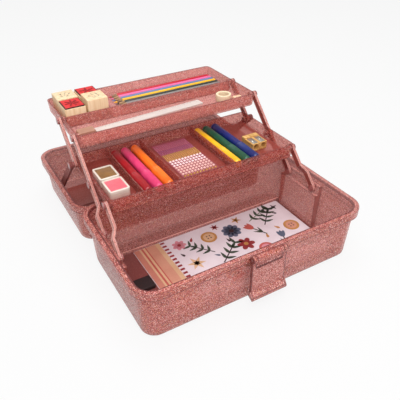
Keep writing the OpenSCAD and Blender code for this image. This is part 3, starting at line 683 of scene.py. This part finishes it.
def smooth(piece, angle):
    hold(piece)
    bpy.ops.object.shade_smooth_by_angle(angle=math.radians(angle))


def paint(piece, *materials):
    piece.data.materials.clear()
    for material in materials:
        piece.data.materials.append(material)


def paint_faces(piece, index, test):
    for face in piece.data.polygons:
        if test(face.center, face.normal):
            face.material_index = index


def block(name, low, high, corner=0.0, edge=0.0, segments=2):
    """A box with rounded upright corners and softened edges."""
    deselect()
    bpy.ops.mesh.primitive_cube_add(size=1, location=(low + high) / 2, scale=high - low)
    piece = named(name)
    settle()
    edit(piece)
    if corner:
        pick_edges(piece, upright)
        bevel(corner, 6)
    if edge:
        pick_edges(piece, level if corner else lambda a, b: True)
        bevel(edge, segments)
    done()
    return piece


TURNS = {"x": (0, math.pi / 2, 0), "y": (-math.pi / 2, 0, 0), "z": (0, 0, 0)}
AXES = {"x": Vector((1, 0, 0)), "y": Vector((0, 1, 0)), "z": Vector((0, 0, 1))}


def turned(name, start, along, rings, sides=36):
    """A round piece, drawn out along an axis from ring to ring, each a distance and a radius."""
    axis = AXES[along]
    distance, radius = rings[0]
    deselect()
    bpy.ops.mesh.primitive_circle_add(
        vertices=sides, radius=radius, fill_type="NGON", location=start + axis * distance,
        rotation=TURNS[along],
    )
    piece = named(name)
    settle()
    edit(piece)
    for far, wide in rings[1:]:
        move = {"value": axis * (far - distance)}
        bpy.ops.mesh.extrude_region_move(TRANSFORM_OT_translate=move)
        if abs(wide - radius) > 1e-9:
            ratio = wide / radius
            centre = start + axis * far
            bpy.ops.transform.resize(value=(ratio, ratio, ratio), center_override=centre)
        distance, radius = far, wide
    tidy_normals()
    done()
    return piece


def apply_cut(piece, cutter, operation="DIFFERENCE"):
    hold(piece)
    cut = piece.modifiers.new("cut", "BOOLEAN")
    cut.operation = operation
    cut.object = cutter
    cut.solver = "EXACT"
    bpy.ops.object.modifier_apply(modifier=cut.name)
    bpy.data.objects.remove(cutter)


def join(pieces, name):
    hold(pieces[0])
    for piece in pieces:
        piece.select_set(True)
    bpy.ops.object.join()
    return named(name)


def dress(node, material):
    """Gives a finish to a part that comes from the model as it is."""
    part = nodes[node]
    if not part.material_slots:
        part.data.materials.append(material)
    for slot in part.material_slots:
        slot.material = material


def stand_for(piece, body, node):
    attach(piece, body)
    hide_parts(node)


def put_in(piece, angle, material, body, node):
    """Smooths and paints a piece that takes the place of a part of the model."""
    smooth(piece, angle)
    paint(piece, material)
    stand_for(piece, body, node)


# The case, its trays and its arms keep their shapes and get their finishes

dress("base_bin", rose_base)
dress("lid_shell", rose_lid)
dress("carry_handle", rose_handle)
dress("latch", rose_latch)
for part in nodes:
    if "tray" in part or "divider" in part:
        dress(part, rose_upper_lit if part.startswith("upper") else rose_tray)
    if "arm" in part:
        dress(part, rose_arm)
    if "lid_link" in part:
        dress(part, dark_link)
for part in ("base_pivot_pins", "lower_tray_pins", "upper_tray_pins"):
    dress(part, rose_rivet)
for part in ("hinge_pins", "latch_pins", "handle_pins"):
    dress(part, bright_pin)


# A bead along the edge of the low step in the bin, its light colour a painted highlight

STEP_Y, STEP_Z = 57.5 * MM, 7.2 * MM
BEAD_HALF, BEAD, BEAD_END = 136 * MM, 0.7 * MM, 0.3 * MM
bead_start = Vector((-BEAD_HALF, STEP_Y + 0.2 * MM, STEP_Z - 0.1 * MM))
bead = turned("step_bead", bead_start, "x", [
    (0.0, BEAD_END), (BEAD_END, BEAD), (2 * BEAD_HALF - BEAD_END, BEAD), (2 * BEAD_HALF, BEAD_END),
], 16)
smooth(bead, 50)
paint(bead, smooth_plastic("rose_bead_highlight", tint(222, 160, 150), tint(206, 136, 128), 0.2, 0.6))
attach(bead, "base")


# Felt markers

MARKER_COLOURS = {
    "red": (tint(164, 16, 28), tint(138, 8, 20)),
    "pink": (tint(226, 62, 116), tint(204, 46, 100)),
    "orange": (tint(250, 118, 24), tint(232, 98, 12)),
    "yellow": (tint(248, 190, 24), tint(232, 168, 10)),
    "green": (tint(8, 84, 58), tint(6, 60, 42)),
    "blue": (tint(14, 38, 112), tint(8, 24, 84)),
}


def marker(colour):
    node = "marker_" + colour
    low, high = corners(node)
    r = (high.x - low.x) / 2
    length = high.y - low.y
    cap = length * 0.38
    start = Vector(((low.x + high.x) / 2, low.y, (low.z + high.z) / 2))
    rings = [
        (0.0, r * 0.5), (0.3 * MM, r * 0.62), (0.3 * MM, r * 0.74), (1.0 * MM, r * 0.88),
        (2.2 * MM, r * 0.955), (4.0 * MM, r * 0.975), (cap - 0.8 * MM, r),
        (cap - 0.2 * MM, r * 0.985), (cap, r * 0.95), (cap, r * 0.9),
        (cap + 0.7 * MM, r * 0.9), (cap + 0.9 * MM, r * 0.945),
        (length * 0.6, r * 0.95), (length - 7 * MM, r * 0.945), (length - 6.6 * MM, r * 0.91),
        (length - 6.0 * MM, r * 0.91), (length - 5.6 * MM, r * 0.94), (length - 2.4 * MM, r * 0.9),
        (length - 0.8 * MM, r * 0.78), (length - 0.2 * MM, r * 0.62), (length, r * 0.44),
    ]
    piece = turned("felt_marker_" + colour, start, "y", rings)
    edit(piece)
    # Shallow grip flutes round the closed end of the cap
    pick_faces(piece, lambda c, n: low.y + 4.2 * MM < c.y < low.y + cap - 1 * MM)
    bpy.ops.mesh.inset(thickness=0.18 * MM, depth=-0.12 * MM, use_individual=True)
    done()
    finish = smooth_plastic("marker_" + colour, *MARKER_COLOURS[colour], 0.3, 0.4)
    put_in(piece, 40, finish, "lower_tray", node)


for colour in MARKER_COLOURS:
    marker(colour)


# Pencils

PENCIL_COLOURS = {
    "red": (tint(196, 22, 50), tint(168, 14, 40)),
    "pink": (tint(236, 110, 164), tint(216, 86, 146)),
    "blue": (tint(102, 128, 172), tint(82, 106, 150)),
    "yellow": (tint(250, 190, 30), tint(232, 166, 14)),
    "green": (tint(42, 52, 42), tint(28, 36, 30)),
    "grey": (tint(140, 132, 130), tint(120, 112, 110)),
}
PENCIL_TIP, PENCIL_LEAD = 14 * MM, 4.6 * MM


def pencil(colour):
    node = "pencil_" + colour
    low, high = corners(node)
    corner = (high.z - low.z) / math.sqrt(3)
    middle = (low + high) / 2
    deselect()
    bpy.ops.mesh.primitive_cylinder_add(
        vertices=6, radius=corner, depth=high.x - low.x, location=middle, rotation=TURNS["x"]
    )
    piece = named("pencil_" + colour + "_hex")
    settle()
    if piece.dimensions.z > piece.dimensions.y:
        piece.rotation_euler = (math.pi / 6, 0, 0)
        piece.location = middle - Matrix.Rotation(math.pi / 6, 3, "X") @ middle
        settle()
    edit(piece)
    pick_edges(piece, lambda a, b: abs(a.x - b.x) > 50 * MM)
    bevel(0.28 * MM)
    # A turned end: a band of bare wood and the lead in its middle
    pick_faces(piece, lambda c, n: n.x > 0.9)
    bpy.ops.mesh.inset(thickness=0.4 * MM, depth=0)
    bpy.ops.mesh.inset(thickness=corner * 0.42, depth=-0.1 * MM)
    done()
    cone = turned("pencil_cone", Vector((low.x, middle.y, middle.z)), "x", [
        (0.0, 0.3 * MM), (0.4 * MM, 0.5 * MM), (PENCIL_LEAD, corner * 0.34),
        (PENCIL_TIP * 1.02, corner * 1.03), (PENCIL_TIP * 1.3, corner * 1.4),
        (high.x - low.x + 1 * MM, corner * 1.4),
    ], 48)
    apply_cut(piece, cone, "INTERSECT")
    colours = PENCIL_COLOURS[colour]
    coat = lacquer("pencil_lacquer_" + colour, *colours)
    paint(piece, coat, pencil_wood, coloured_lead("pencil_lead_" + colour, *colours))
    paint_faces(piece, 0, lambda c, n: True)
    paint_faces(
        piece, 1, lambda c, n: n.x < -0.05 or n.x > 0.9 and (c - middle).yz.length < corner * 0.7
    )
    paint_faces(piece, 2, lambda c, n: c.x < low.x + PENCIL_LEAD - 1e-5)
    mend(piece)
    smooth(piece, 25)
    stand_for(piece, "upper_tray", node)


for colour in PENCIL_COLOURS:
    pencil(colour)


# Flat motifs, each drawn out to a thin raised print

INK = 0.1 * MM


def lay_flat(piece, material, middle, wide, deep, thick, turn):
    """Lays a flat shape in its place, draws it out to its thickness and paints it."""
    piece.scale = (wide, deep, 1)
    piece.rotation_euler = (0, 0, turn)
    piece.location = middle
    settle()
    edit(piece)
    bpy.ops.mesh.extrude_region_move(TRANSFORM_OT_translate={"value": (0, 0, thick)})
    tidy_normals()
    done()
    paint(piece, material)
    return piece


def flat_disc(material, middle, wide, deep, thick, turn=0.0, sides=16, point=0.0):
    """A thin oval; point draws its far end out to a leaf's tip."""
    deselect()
    bpy.ops.mesh.primitive_circle_add(vertices=sides, fill_type="NGON", location=(0, 0, 0))
    piece = named("flat_disc")
    for vertex in piece.data.vertices:
        vertex.co.x *= 1 - point * (0.5 + 0.5 * vertex.co.y)
    return lay_flat(piece, material, middle, wide / 2, deep / 2, thick, turn)


def flat_bar(material, middle, wide, deep, thick, turn=0.0):
    deselect()
    bpy.ops.mesh.primitive_plane_add(size=1, location=(0, 0, 0))
    return lay_flat(named("flat_bar"), material, middle, wide, deep, thick, turn)


def at(middle, angle, reach):
    return middle + Vector((-math.sin(angle), math.cos(angle), 0)) * reach


def spread(count, turn=0.0):
    """Even angles all the way round."""
    return [turn + i * 2 * math.pi / count for i in range(count)]


def oval(ink, middle, wide, deep, turn=0.0, sides=16, point=0.0, layers=1.0):
    return flat_disc(PRINTS[ink], middle, wide, deep, INK * layers, turn, sides, point)


def stem(ink, middle, wide, deep, turn):
    return flat_bar(PRINTS[ink], middle, wide, deep, INK, turn)


def blossom(middle, size, petal, heart, petals=6, turn=0.0):
    """A round flower of oval petals about a small heart."""
    parts = []
    for angle in spread(petals, turn):
        spot = at(middle, angle, size * 0.3)
        parts.append(oval(petal, spot, size * 0.3, size * 0.42, angle, 14))
    return parts + [oval(heart, middle, size * 0.26, size * 0.26, layers=1.6)]


def sprig(middle, size, leaf, stalk, turn=0.0, pairs=3):
    """A stem with pairs of pointed leaves and one at its tip."""
    parts = [stem(stalk, middle, size * 0.045, size, turn)]
    for i in range(pairs):
        foot = at(middle, turn, size * (-0.26 + 0.3 * i))
        for angle in (turn - 0.95, turn + 0.95):
            spot = at(foot, angle, size * 0.19)
            parts.append(oval(leaf, spot, size * 0.17, size * 0.36, angle, point=0.75))
    spot = at(middle, turn, size * 0.56)
    return parts + [oval(leaf, spot, size * 0.16, size * 0.34, turn, point=0.75)]


def star(middle, size, ink, turn=0.0, points=5):
    """A star of narrow rays."""
    parts = []
    for angle in spread(points, turn):
        spot = at(middle, angle, size * 0.22)
        parts.append(oval(ink, spot, size * 0.3, size * 0.5, angle, 12, 0.9))
    return parts


def button(middle, size, rim, face):
    """A round button of two tones with four holes."""
    parts = [
        oval(rim, middle, size, size, sides=24),
        oval(face, middle, size * 0.7, size * 0.7, sides=24, layers=1.5),
    ]
    for angle in spread(4, math.pi / 4):
        spot = at(middle, angle, size * 0.14)
        parts.append(oval("ink", spot, size * 0.1, size * 0.1, sides=10, layers=2))
    return parts


def drop(middle, size, ink, turn=0.0):
    return [oval(ink, middle, size * 0.62, size, turn, 18, 0.85)]


def tulip(middle, size, cup, leaf, turn=0.0):
    """A cup of three petals on a stem with two leaves."""
    parts = [stem(leaf, at(middle, turn, -size * 0.2), size * 0.05, size * 0.6, turn)]
    foot, mouth = at(middle, turn, -size * 0.3), at(middle, turn, size * 0.14)
    for angle in (turn - 0.5, turn + 0.5):
        spot = at(foot, angle, size * 0.17)
        parts.append(oval(leaf, spot, size * 0.13, size * 0.4, angle, 14, 0.8))
    for angle, layers in ((turn - 0.42, 1.2), (turn + 0.42, 1.2), (turn, 1.8)):
        spot = at(mouth, angle, size * 0.17)
        parts.append(oval(cup, spot, size * 0.24, size * 0.42, angle, 16, 0.5, layers))
    return parts


# The pad of printed card in the bin

card_low, card_high = corners("sticker_card")
card_deep = (card_high.y - card_low.y) / MM
CARD_EDGE = 0.4
dress("sticker_card", card_white)
prints = []


def on_card(x, y):
    """A place on the card, in mm from its front left corner."""
    return Vector((card_low.x + x * MM, card_low.y + y * MM, card_high.z))


def band(x0, x1, ink, y0=CARD_EDGE, y1=card_deep - CARD_EDGE):
    middle = on_card((x0 + x1) / 2, (y0 + y1) / 2)
    prints.append(flat_bar(PRINTS[ink], middle, (x1 - x0) * MM, (y1 - y0) * MM, INK * 0.6))


for x0, x1, ink in (
    (CARD_EDGE, 8.0, "blush"), (8.0, 10.6, "sand"), (10.6, 13.2, "coral"), (13.2, 16.0, "sand"),
    (16.0, 17.6, "coral"), (17.6, 30.0, "peach"), (30.0, 36.0, "sand"),
):
    band(x0, x1, ink)
for i in range(17):
    y0 = 1.5 + i * 7.0
    band(36.4, 42.4, "red", y0, y0 + 3.4)

# Each motif: its kind, its place and size in mm, its inks, and its turn and count
for motif, x, y, size, *rest in (
    (blossom, 57, 101, 19, "pink", "red", 7),
    (sprig, 81, 78, 30, "leaf", "ink", 0.7, 4),
    (star, 60, 60, 26, "sand", 0.3, 6),
    (tulip, 66, 22, 32, "coral", "leaf", -0.5),
    (drop, 52, 82, 8, "ink", 0.4),
    (drop, 76, 103, 9, "red", -0.6),
    (button, 99, 96, 22, "ochre", "sand"),
    (sprig, 104, 55, 36, "leaf", "ink", -0.9, 4),
    (blossom, 90, 22, 24, "coral", "ochre", 8, 0.2),
    (drop, 90, 60, 8, "slate", 0.9),
    (star, 116, 110, 14, "red", 0.1, 6),
    (blossom, 132, 92, 27, "slate", "ink", 9, 0.35),
    (blossom, 134, 60, 24, "red", "ochre", 6, 0.3),
    (sprig, 118, 22, 30, "sage", "ink", 0.35),
    (drop, 118, 78, 8, "ink", 0.2),
    (button, 153, 40, 21, "coral", "pink"),
    (star, 150, 109, 17, "ochre", 0.5),
    (tulip, 162, 78, 34, "coral", "leaf", 0.5),
    (sprig, 180, 103, 33, "leaf", "sage", -1.2, 4),
    (sprig, 190, 92, 33, "leaf", "ink", -0.75, 4),
    (drop, 168, 60, 9, "ochre", -0.3),
    (tulip, 184, 44, 32, "slate", "leaf", -0.25),
    (button, 210, 62, 22, "ochre", "peach"),
    (star, 214, 108, 14, "ink", 0.2, 4),
    (drop, 206, 96, 8, "ink", 0.8),
    (sprig, 206, 24, 29, "sage", "leaf", 0.9),
    (drop, 190, 68, 9, "ochre", 0.5),
    (drop, 168, 20, 9, "red", -0.2),
):
    prints += motif(on_card(x, y), size * MM, *rest)
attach(join(prints, "sticker_card_print"), "base")

# The block of charcoal in the bin's corner

lump = block("chalk_lump", *corners("charcoal_block"))
edit(lump)
bpy.ops.mesh.subdivide(number_cuts=3)
done()
hold(lump)
rounder = lump.modifiers.new("rounder", "BEVEL")
rounder.width = 3 * MM
rounder.segments = 4
rounder.limit_method = "ANGLE"
bpy.ops.object.modifier_apply(modifier=rounder.name)
put_in(lump, 60, charcoal_black, "base", "charcoal_block")


# Stamps: wooden blocks, two with their cut rubber on top and two with a faint print

RIDGE = 0.5 * MM


def stamp_block(node):
    low, high = corners(node)
    piece = block(node + "_wood", low, high, 0.0, 0.6 * MM, 3)
    put_in(piece, 40, stamp_wood, "upper_tray", node)
    return Vector(((low.x + high.x) / 2, (low.y + high.y) / 2, high.z))


def stamp_rubber(node, wheel):
    """A pad with a raised wheel of ridges."""
    low, high = corners(node)
    middle = (low + high) / 2
    middle.z = high.z - RIDGE
    pad = block(node + "_pad", low, Vector((high.x, high.y, middle.z)), 0.0, 0.3 * MM)
    edit(pad)
    pick_faces(pad, lambda c, n: n.z > 0.9 and c.z > middle.z - 1e-5)
    bpy.ops.mesh.inset(thickness=0.7 * MM, depth=0)
    done()
    paint(pad, stamp_edge, stamp_red)
    paint_faces(pad, 1, lambda c, n: n.z > 0.9 and abs(c.x - middle.x) < 2 * MM)
    size = (high.x - low.x) * 0.8
    parts = [pad]
    for angle in spread(wheel):
        spot = at(middle, angle, size * 0.3)
        parts.append(flat_disc(stamp_line, spot, size * 0.16, size * 0.36, RIDGE, angle, 14, 0.4))
    parts.append(flat_disc(stamp_line, middle, size * 0.2, size * 0.2, RIDGE))
    rubber = join(parts, node + "_cut")
    smooth(rubber, 30)
    stand_for(rubber, "upper_tray", node)


def wood_print(node, middle, turn):
    lines = []
    for i in range(3):
        spot = at(middle, turn + 1.57, (i - 1) * 4.6 * MM)
        long = 13 * MM - i * 2 * MM
        lines.append(flat_bar(print_grey, spot, 0.7 * MM, long, INK, turn + 0.25 * (i - 1)))
    for i in range(5):
        spot, lean = at(middle, turn + i * 1.3, 6.4 * MM), turn + i * 0.9
        lines.append(flat_disc(print_grey, spot, 2.2 * MM, 4.4 * MM, INK, lean, 12, 0.8))
    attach(join(lines, node + "_print"), "upper_tray")


for node in ("stamp_front_left", "stamp_rear_right"):
    stamp_block(node)
for node, turn in (("stamp_front_right", 0.3), ("stamp_rear_left", -0.4)):
    wood_print(node, stamp_block(node), turn)
stamp_rubber("stamp_rubber_front", 7)
stamp_rubber("stamp_rubber_rear", 5)


# Ink pads

SEAM = 0.5 * MM


def ink_pad(colour, finish):
    low, high = corners("ink_case_" + colour)
    case = block("ink_pad_case_" + colour, low, high, 3 * MM, 0.5 * MM)
    edit(case)
    seam = low.z + (high.z - low.z) * 0.58
    for z in (seam, seam + SEAM):
        bpy.ops.mesh.select_all(action="SELECT")
        bpy.ops.mesh.bisect(plane_co=(0, 0, z), plane_no=(0, 0, 1))
    pick_faces(case, lambda c, n: seam < c.z < seam + SEAM and abs(n.z) < 0.5)
    bpy.ops.mesh.extrude_region_shrink_fatten(TRANSFORM_OT_shrink_fatten={"value": -SEAM})
    # The well that the felt sits in
    pick_faces(case, lambda c, n: n.z > 0.95 and c.z > high.z - 1e-5)
    for thickness, depth in ((1.8, 0), (0.3, -1.2), (0.1, -1.2)):
        bpy.ops.mesh.inset(thickness=thickness * MM, depth=depth * MM)
    tidy_normals()
    done()
    put_in(case, 35, cream_case, "lower_tray", "ink_case_" + colour)
    felt = "ink_felt_" + colour
    pad = block("ink_pad_felt_" + colour, *corners(felt), 1.2 * MM, 0.4 * MM)
    put_in(pad, 40, finish, "lower_tray", felt)


ink_pad("gold", inked_felt("felt_gold", tint(140, 94, 30), tint(116, 76, 22)))
ink_pad("coral", inked_felt("felt_coral", tint(250, 102, 116), tint(236, 86, 100)))


# The sheet of stick-on gems


def gem_rows(name, first, columns, rows, step, radius, height, material):
    """A field of small domes, made once and set out in rows."""
    deselect()
    bpy.ops.mesh.primitive_uv_sphere_add(segments=10, ring_count=6, radius=radius, location=first)
    piece = named(name)
    settle()
    edit(piece)
    bpy.ops.mesh.bisect(plane_co=first, plane_no=(0, 0, 1), use_fill=True, clear_inner=True)
    bpy.ops.mesh.select_all(action="SELECT")
    bpy.ops.transform.resize(value=(1, 1, height / radius), center_override=first)
    tidy_normals()
    done()
    hold(piece)
    for count, offset in ((columns, (step[0], 0, 0)), (rows, (0, step[1], 0))):
        array = piece.modifiers.new("spread", "ARRAY")
        array.count = count
        array.use_relative_offset = False
        array.use_constant_offset = True
        array.constant_offset_displace = offset
        bpy.ops.object.modifier_apply(modifier=array.name)
    smooth(piece, 60)
    paint(piece, material)
    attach(piece, "lower_tray")


low, high = corners("gem_sheet")
sheet = block("gem_card", low, high, 2 * MM, 0.1 * MM, 1)
paint(sheet, gem_gloss("gem_film", tint(160, 84, 92), tint(142, 70, 78)))
stand_for(sheet, "lower_tray", "gem_sheet")
pearl = gem_gloss("gem_pearl", tint(248, 226, 224), tint(236, 196, 200))
blush_pearl = gem_gloss("gem_blush", tint(236, 194, 190), tint(216, 158, 146))
rose_pearl = gem_gloss("gem_rose", tint(176, 84, 112), tint(150, 62, 92))
gilt = gem_gloss("gem_gilt", tint(206, 154, 70), tint(176, 122, 44), 0.5)
violet = gem_gloss("gem_violet", tint(150, 58, 104), tint(122, 44, 86))
coarse, fine = (high.x - low.x) / 11.6, (high.x - low.x) / 17.5
# Each field: its name, columns, step, start from the front, rows, their step, radius and height
for name, columns, step, start, rows, row_step, radius, height, material in (
    ("gem_front_gilt", 11, coarse, 3.4, 1, 4.0, 1.7, 1.4, gilt),
    ("gem_pearls", 11, coarse, 8.6, 4, 5.6, 1.9, 1.7, blush_pearl),
    ("gem_rose_pearls", 11, coarse, 31.0, 3, 5.6, 1.8, 1.5, pearl),
    ("gem_fine_gilt", 17, fine, 46.0, 5, 3.5, 1.4, 1.1, gilt),
    ("gem_fine_violet", 17, fine, 64.6, 3, 3.9, 1.4, 1.0, violet),
    ("gem_fine_rose", 17, fine, 76.6, 4, 3.9, 1.4, 1.0, rose_pearl),
):
    inset = step * (0.8 if step == coarse else 0.75)
    first = Vector((low.x + inset, low.y + start * MM, high.z))
    steps = (step, row_step * MM)
    gem_rows(name, first, columns, rows, steps, radius * MM, height * MM, material)


# The double sharpener

BORE, BORE_END, BORE_STRAIGHT = 4 * MM, 1.2 * MM, 1.8 * MM
BLADE_HALF, BLADE_THICK = 3.8 * MM, 0.6 * MM
SLOT_HALF = 0.28 * MM
GROOVE = 0.6 * MM

low, high = corners("sharpener_body")
blades_low, blades_high = corners("sharpener_blades")
body = block("sharpener_block", low, high, 0.0, 0.7 * MM)
mid_x = (low.x + high.x) / 2
hole_step = (high.x - low.x) / 4
for side in (-1, 1):
    mouth = Vector((mid_x + side * hole_step, low.y - 1 * MM, (low.z + high.z) / 2))
    reach = (high.y - low.y) * 0.7
    rings = [(0, BORE), (BORE_STRAIGHT, BORE), (reach, BORE_END)]
    apply_cut(body, turned("bore", mouth, "y", rings, 32))
seat_low = Vector((low.x - 2 * MM, low.y - 2 * MM, blades_low.z))
seat_high = Vector((high.x + 2 * MM, blades_high.y + 1.4 * MM, high.z + 2 * MM))
apply_cut(body, block("seat", seat_low, seat_high))
for i in range(5):
    for side in (low.x, high.x):
        start = Vector((side, low.y + (5 + i * 3.6) * MM, low.z - 1 * MM))
        apply_cut(body, turned("groove", start, "z", [(0, GROOVE), (16 * MM, GROOVE)], 12))
mend(body)
put_in(body, 30, sharpener_wood, "lower_tray", "sharpener_body")

steel_parts = []
for side in (-1, 1):
    x = mid_x + side * hole_step
    top = blades_low.z + BLADE_THICK
    blade_low = Vector((x - BLADE_HALF, blades_low.y, blades_low.z))
    blade_high = Vector((x + BLADE_HALF, blades_high.y, top))
    blade = block("blade", blade_low, blade_high, 0.0, 0.1 * MM, 1)
    edit(blade)
    # The ground edge
    pick_edges(
        blade, lambda a, b: max(a.x, b.x) < x - 3 * MM and min(a.z, b.z) > blades_low.z + 0.4 * MM
    )
    bevel(0.4 * MM, 1)
    done()
    centre = Vector((x, (blades_low.y + blades_high.y) / 2, top))
    screw = turned("screw", centre, "z", [
        (0, 2.3 * MM), (0.2 * MM, 2.3 * MM), (0.7 * MM, 1.7 * MM), (0.8 * MM, 1 * MM),
    ], 24)
    slot_low = centre + Vector((-3 * MM, -SLOT_HALF, 0.4 * MM))
    apply_cut(screw, block("slot", slot_low, centre + Vector((3 * MM, SLOT_HALF, 2 * MM))))
    steel_parts += [blade, screw]
for part in steel_parts:
    paint(part, blade_steel)
blades = join(steel_parts, "sharpener_steel")
smooth(blades, 30)
stand_for(blades, "lower_tray", "sharpener_blades")


# The ruler keeps its shape and gets its divisions

RULER_TURN = math.radians(4)
TICK_WIDE, TICK_EDGE = 0.22 * MM, 6.6

dress("ruler", milky_ruler)
low, high = corners("ruler")
middle = (low + high) / 2
middle.z = high.z
along = Vector((math.cos(RULER_TURN), math.sin(RULER_TURN), 0))
across = Vector((-along.y, along.x, 0))
ticks = []
for i in range(151):
    reach = 5.0 if i % 10 == 0 else 3.8 if i % 5 == 0 else 2.4
    spot = middle + along * (i - 75) * MM + across * (TICK_EDGE - reach / 2) * MM
    ticks.append(flat_bar(tick_grey, spot, TICK_WIDE, reach * MM, INK * 0.5, RULER_TURN))
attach(join(ticks, "ruler_divisions"), "upper_tray")


# The roll of tape, the stick and the eraser

low, high = corners("tape_roll")
middle = (low + high) / 2
r, tall = (high.x - low.x) / 2, high.z - low.z
foot = Vector((middle.x, middle.y, low.z))
roll = turned("tape_ring", foot, "z", [
    (0.0, r - 0.9 * MM), (0.3 * MM, r - 0.3 * MM), (1 * MM, r),
    (tall - 1 * MM, r), (tall - 0.3 * MM, r - 0.3 * MM), (tall, r - 0.9 * MM),
], 64)
mouth, hole = r - 2.8 * MM, r - 3.5 * MM
apply_cut(roll, turned("tape_hole", foot, "z", [
    (-1 * MM, mouth), (0.0, mouth), (0.8 * MM, hole),
    (tall - 0.8 * MM, hole), (tall, mouth), (tall + 1 * MM, mouth),
], 64))
mend(roll)
put_in(roll, 40, wound_tape("cream_tape", middle), "upper_tray", "tape_roll")

stick = block("birch_stick", *corners("wood_stick"), 0.0, 0.9 * MM, 3)
put_in(stick, 40, stick_wood, "upper_tray", "wood_stick")

rubber = block("eraser_cake", *corners("eraser"), 2 * MM, 1.2 * MM, 4)
put_in(rubber, 50, soft_eraser, "upper_tray", "eraser")


# Floor, light and camera

FLOOR_COLOUR, FLOOR_GLOW = (0.62, 0.62, 0.62, 1), 0.86
WHITE = (1, 1, 1, 1)
WORLD_LIGHT, WORLD_SEEN = 0.4, 0.96


def floor_finish():
    """Takes the shadow, and looks white to the camera, in gloss and through the plastic."""
    f = Finish("pale_floor")
    f.set(colour=FLOOR_COLOUR, rough=0.9)
    rays = f.tree.nodes.new("ShaderNodeLightPath")
    kinds = ("Is Camera Ray", "Is Glossy Ray", "Is Transmission Ray")
    camera_ray, glossy_ray, clear_ray = (Wire(f, rays.outputs[kind]) for kind in kinds)
    glow = f.node("ShaderNodeEmission", None, {"Color": WHITE, "Strength": 1.0})
    return f.blend((camera_ray | glossy_ray | clear_ray) * FLOOR_GLOW, glow)


deselect()
bpy.ops.mesh.primitive_plane_add(size=12, location=(0, 0, -0.2 * MM))
floor = named("studio_floor")
settle()
paint(floor, floor_finish())

world = bpy.data.worlds.new("studio")
bpy.context.scene.world = world
world.use_nodes = True
sky = world.node_tree.nodes["Background"]
sky.inputs["Color"].default_value = WHITE
glow = world.node_tree.nodes.new("ShaderNodeMapRange")
glow.inputs["To Min"].default_value = WORLD_LIGHT
glow.inputs["To Max"].default_value = WORLD_SEEN
rays = world.node_tree.nodes.new("ShaderNodeLightPath")
world.node_tree.links.new(rays.outputs["Is Camera Ray"], glow.inputs["Value"])
world.node_tree.links.new(glow.outputs["Result"], sky.inputs["Strength"])


def soft_lamp(name, place, aim, size, watts):
    lamp = bpy.data.lights.new(name, "AREA")
    lamp.shape = "RECTANGLE"
    lamp.size, lamp.size_y = size
    lamp.energy = watts
    holder = bpy.data.objects.new(name, lamp)
    bpy.context.scene.collection.objects.link(holder)
    holder.location = place
    holder.rotation_euler = (Vector(aim) - Vector(place)).to_track_quat("-Z", "Y").to_euler()


soft_lamp("key_lamp", (-0.55, -0.75, 1.5), (0, 0.12, 0.1), (0.9, 0.9), 17)
soft_lamp("top_lamp", (0.1, 0.3, 1.5), (0, 0.1, 0.0), (1.2, 1.2), 14)
soft_lamp("front_lamp", (0.1, -1.4, 0.6), (0, 0.0, 0.08), (0.9, 0.6), 7)

# The camera as fitted to the photograph, its focal length in pixels of the frame
AZIMUTH, ELEVATION, ROLL = (math.radians(angle) for angle in (-30.23, 34.65, -0.23))
CAMERA_PLACE = (-0.2641, -0.3997, 0.4146)
FOCAL, FRAME, SENSOR = 492.86, 400, 36

away = math.cos(ELEVATION)
back = Vector((math.sin(AZIMUTH) * away, -math.cos(AZIMUTH) * away, math.sin(ELEVATION)))
right = Vector((math.cos(AZIMUTH), math.sin(AZIMUTH), 0))
up = back.cross(right)
right, up = (
    right * math.cos(ROLL) + up * math.sin(ROLL),
    up * math.cos(ROLL) - right * math.sin(ROLL),
)
lens = bpy.data.cameras.new("photo_camera")
lens.sensor_width = SENSOR
lens.lens = FOCAL / FRAME * SENSOR
camera = bpy.data.objects.new("photo_camera", lens)
bpy.context.scene.collection.objects.link(camera)
camera.matrix_world = Matrix([*zip(right, up, back, CAMERA_PLACE), (0, 0, 0, 1)])
bpy.context.scene.camera = camera
bpy.context.scene.view_settings.view_transform = "Standard"
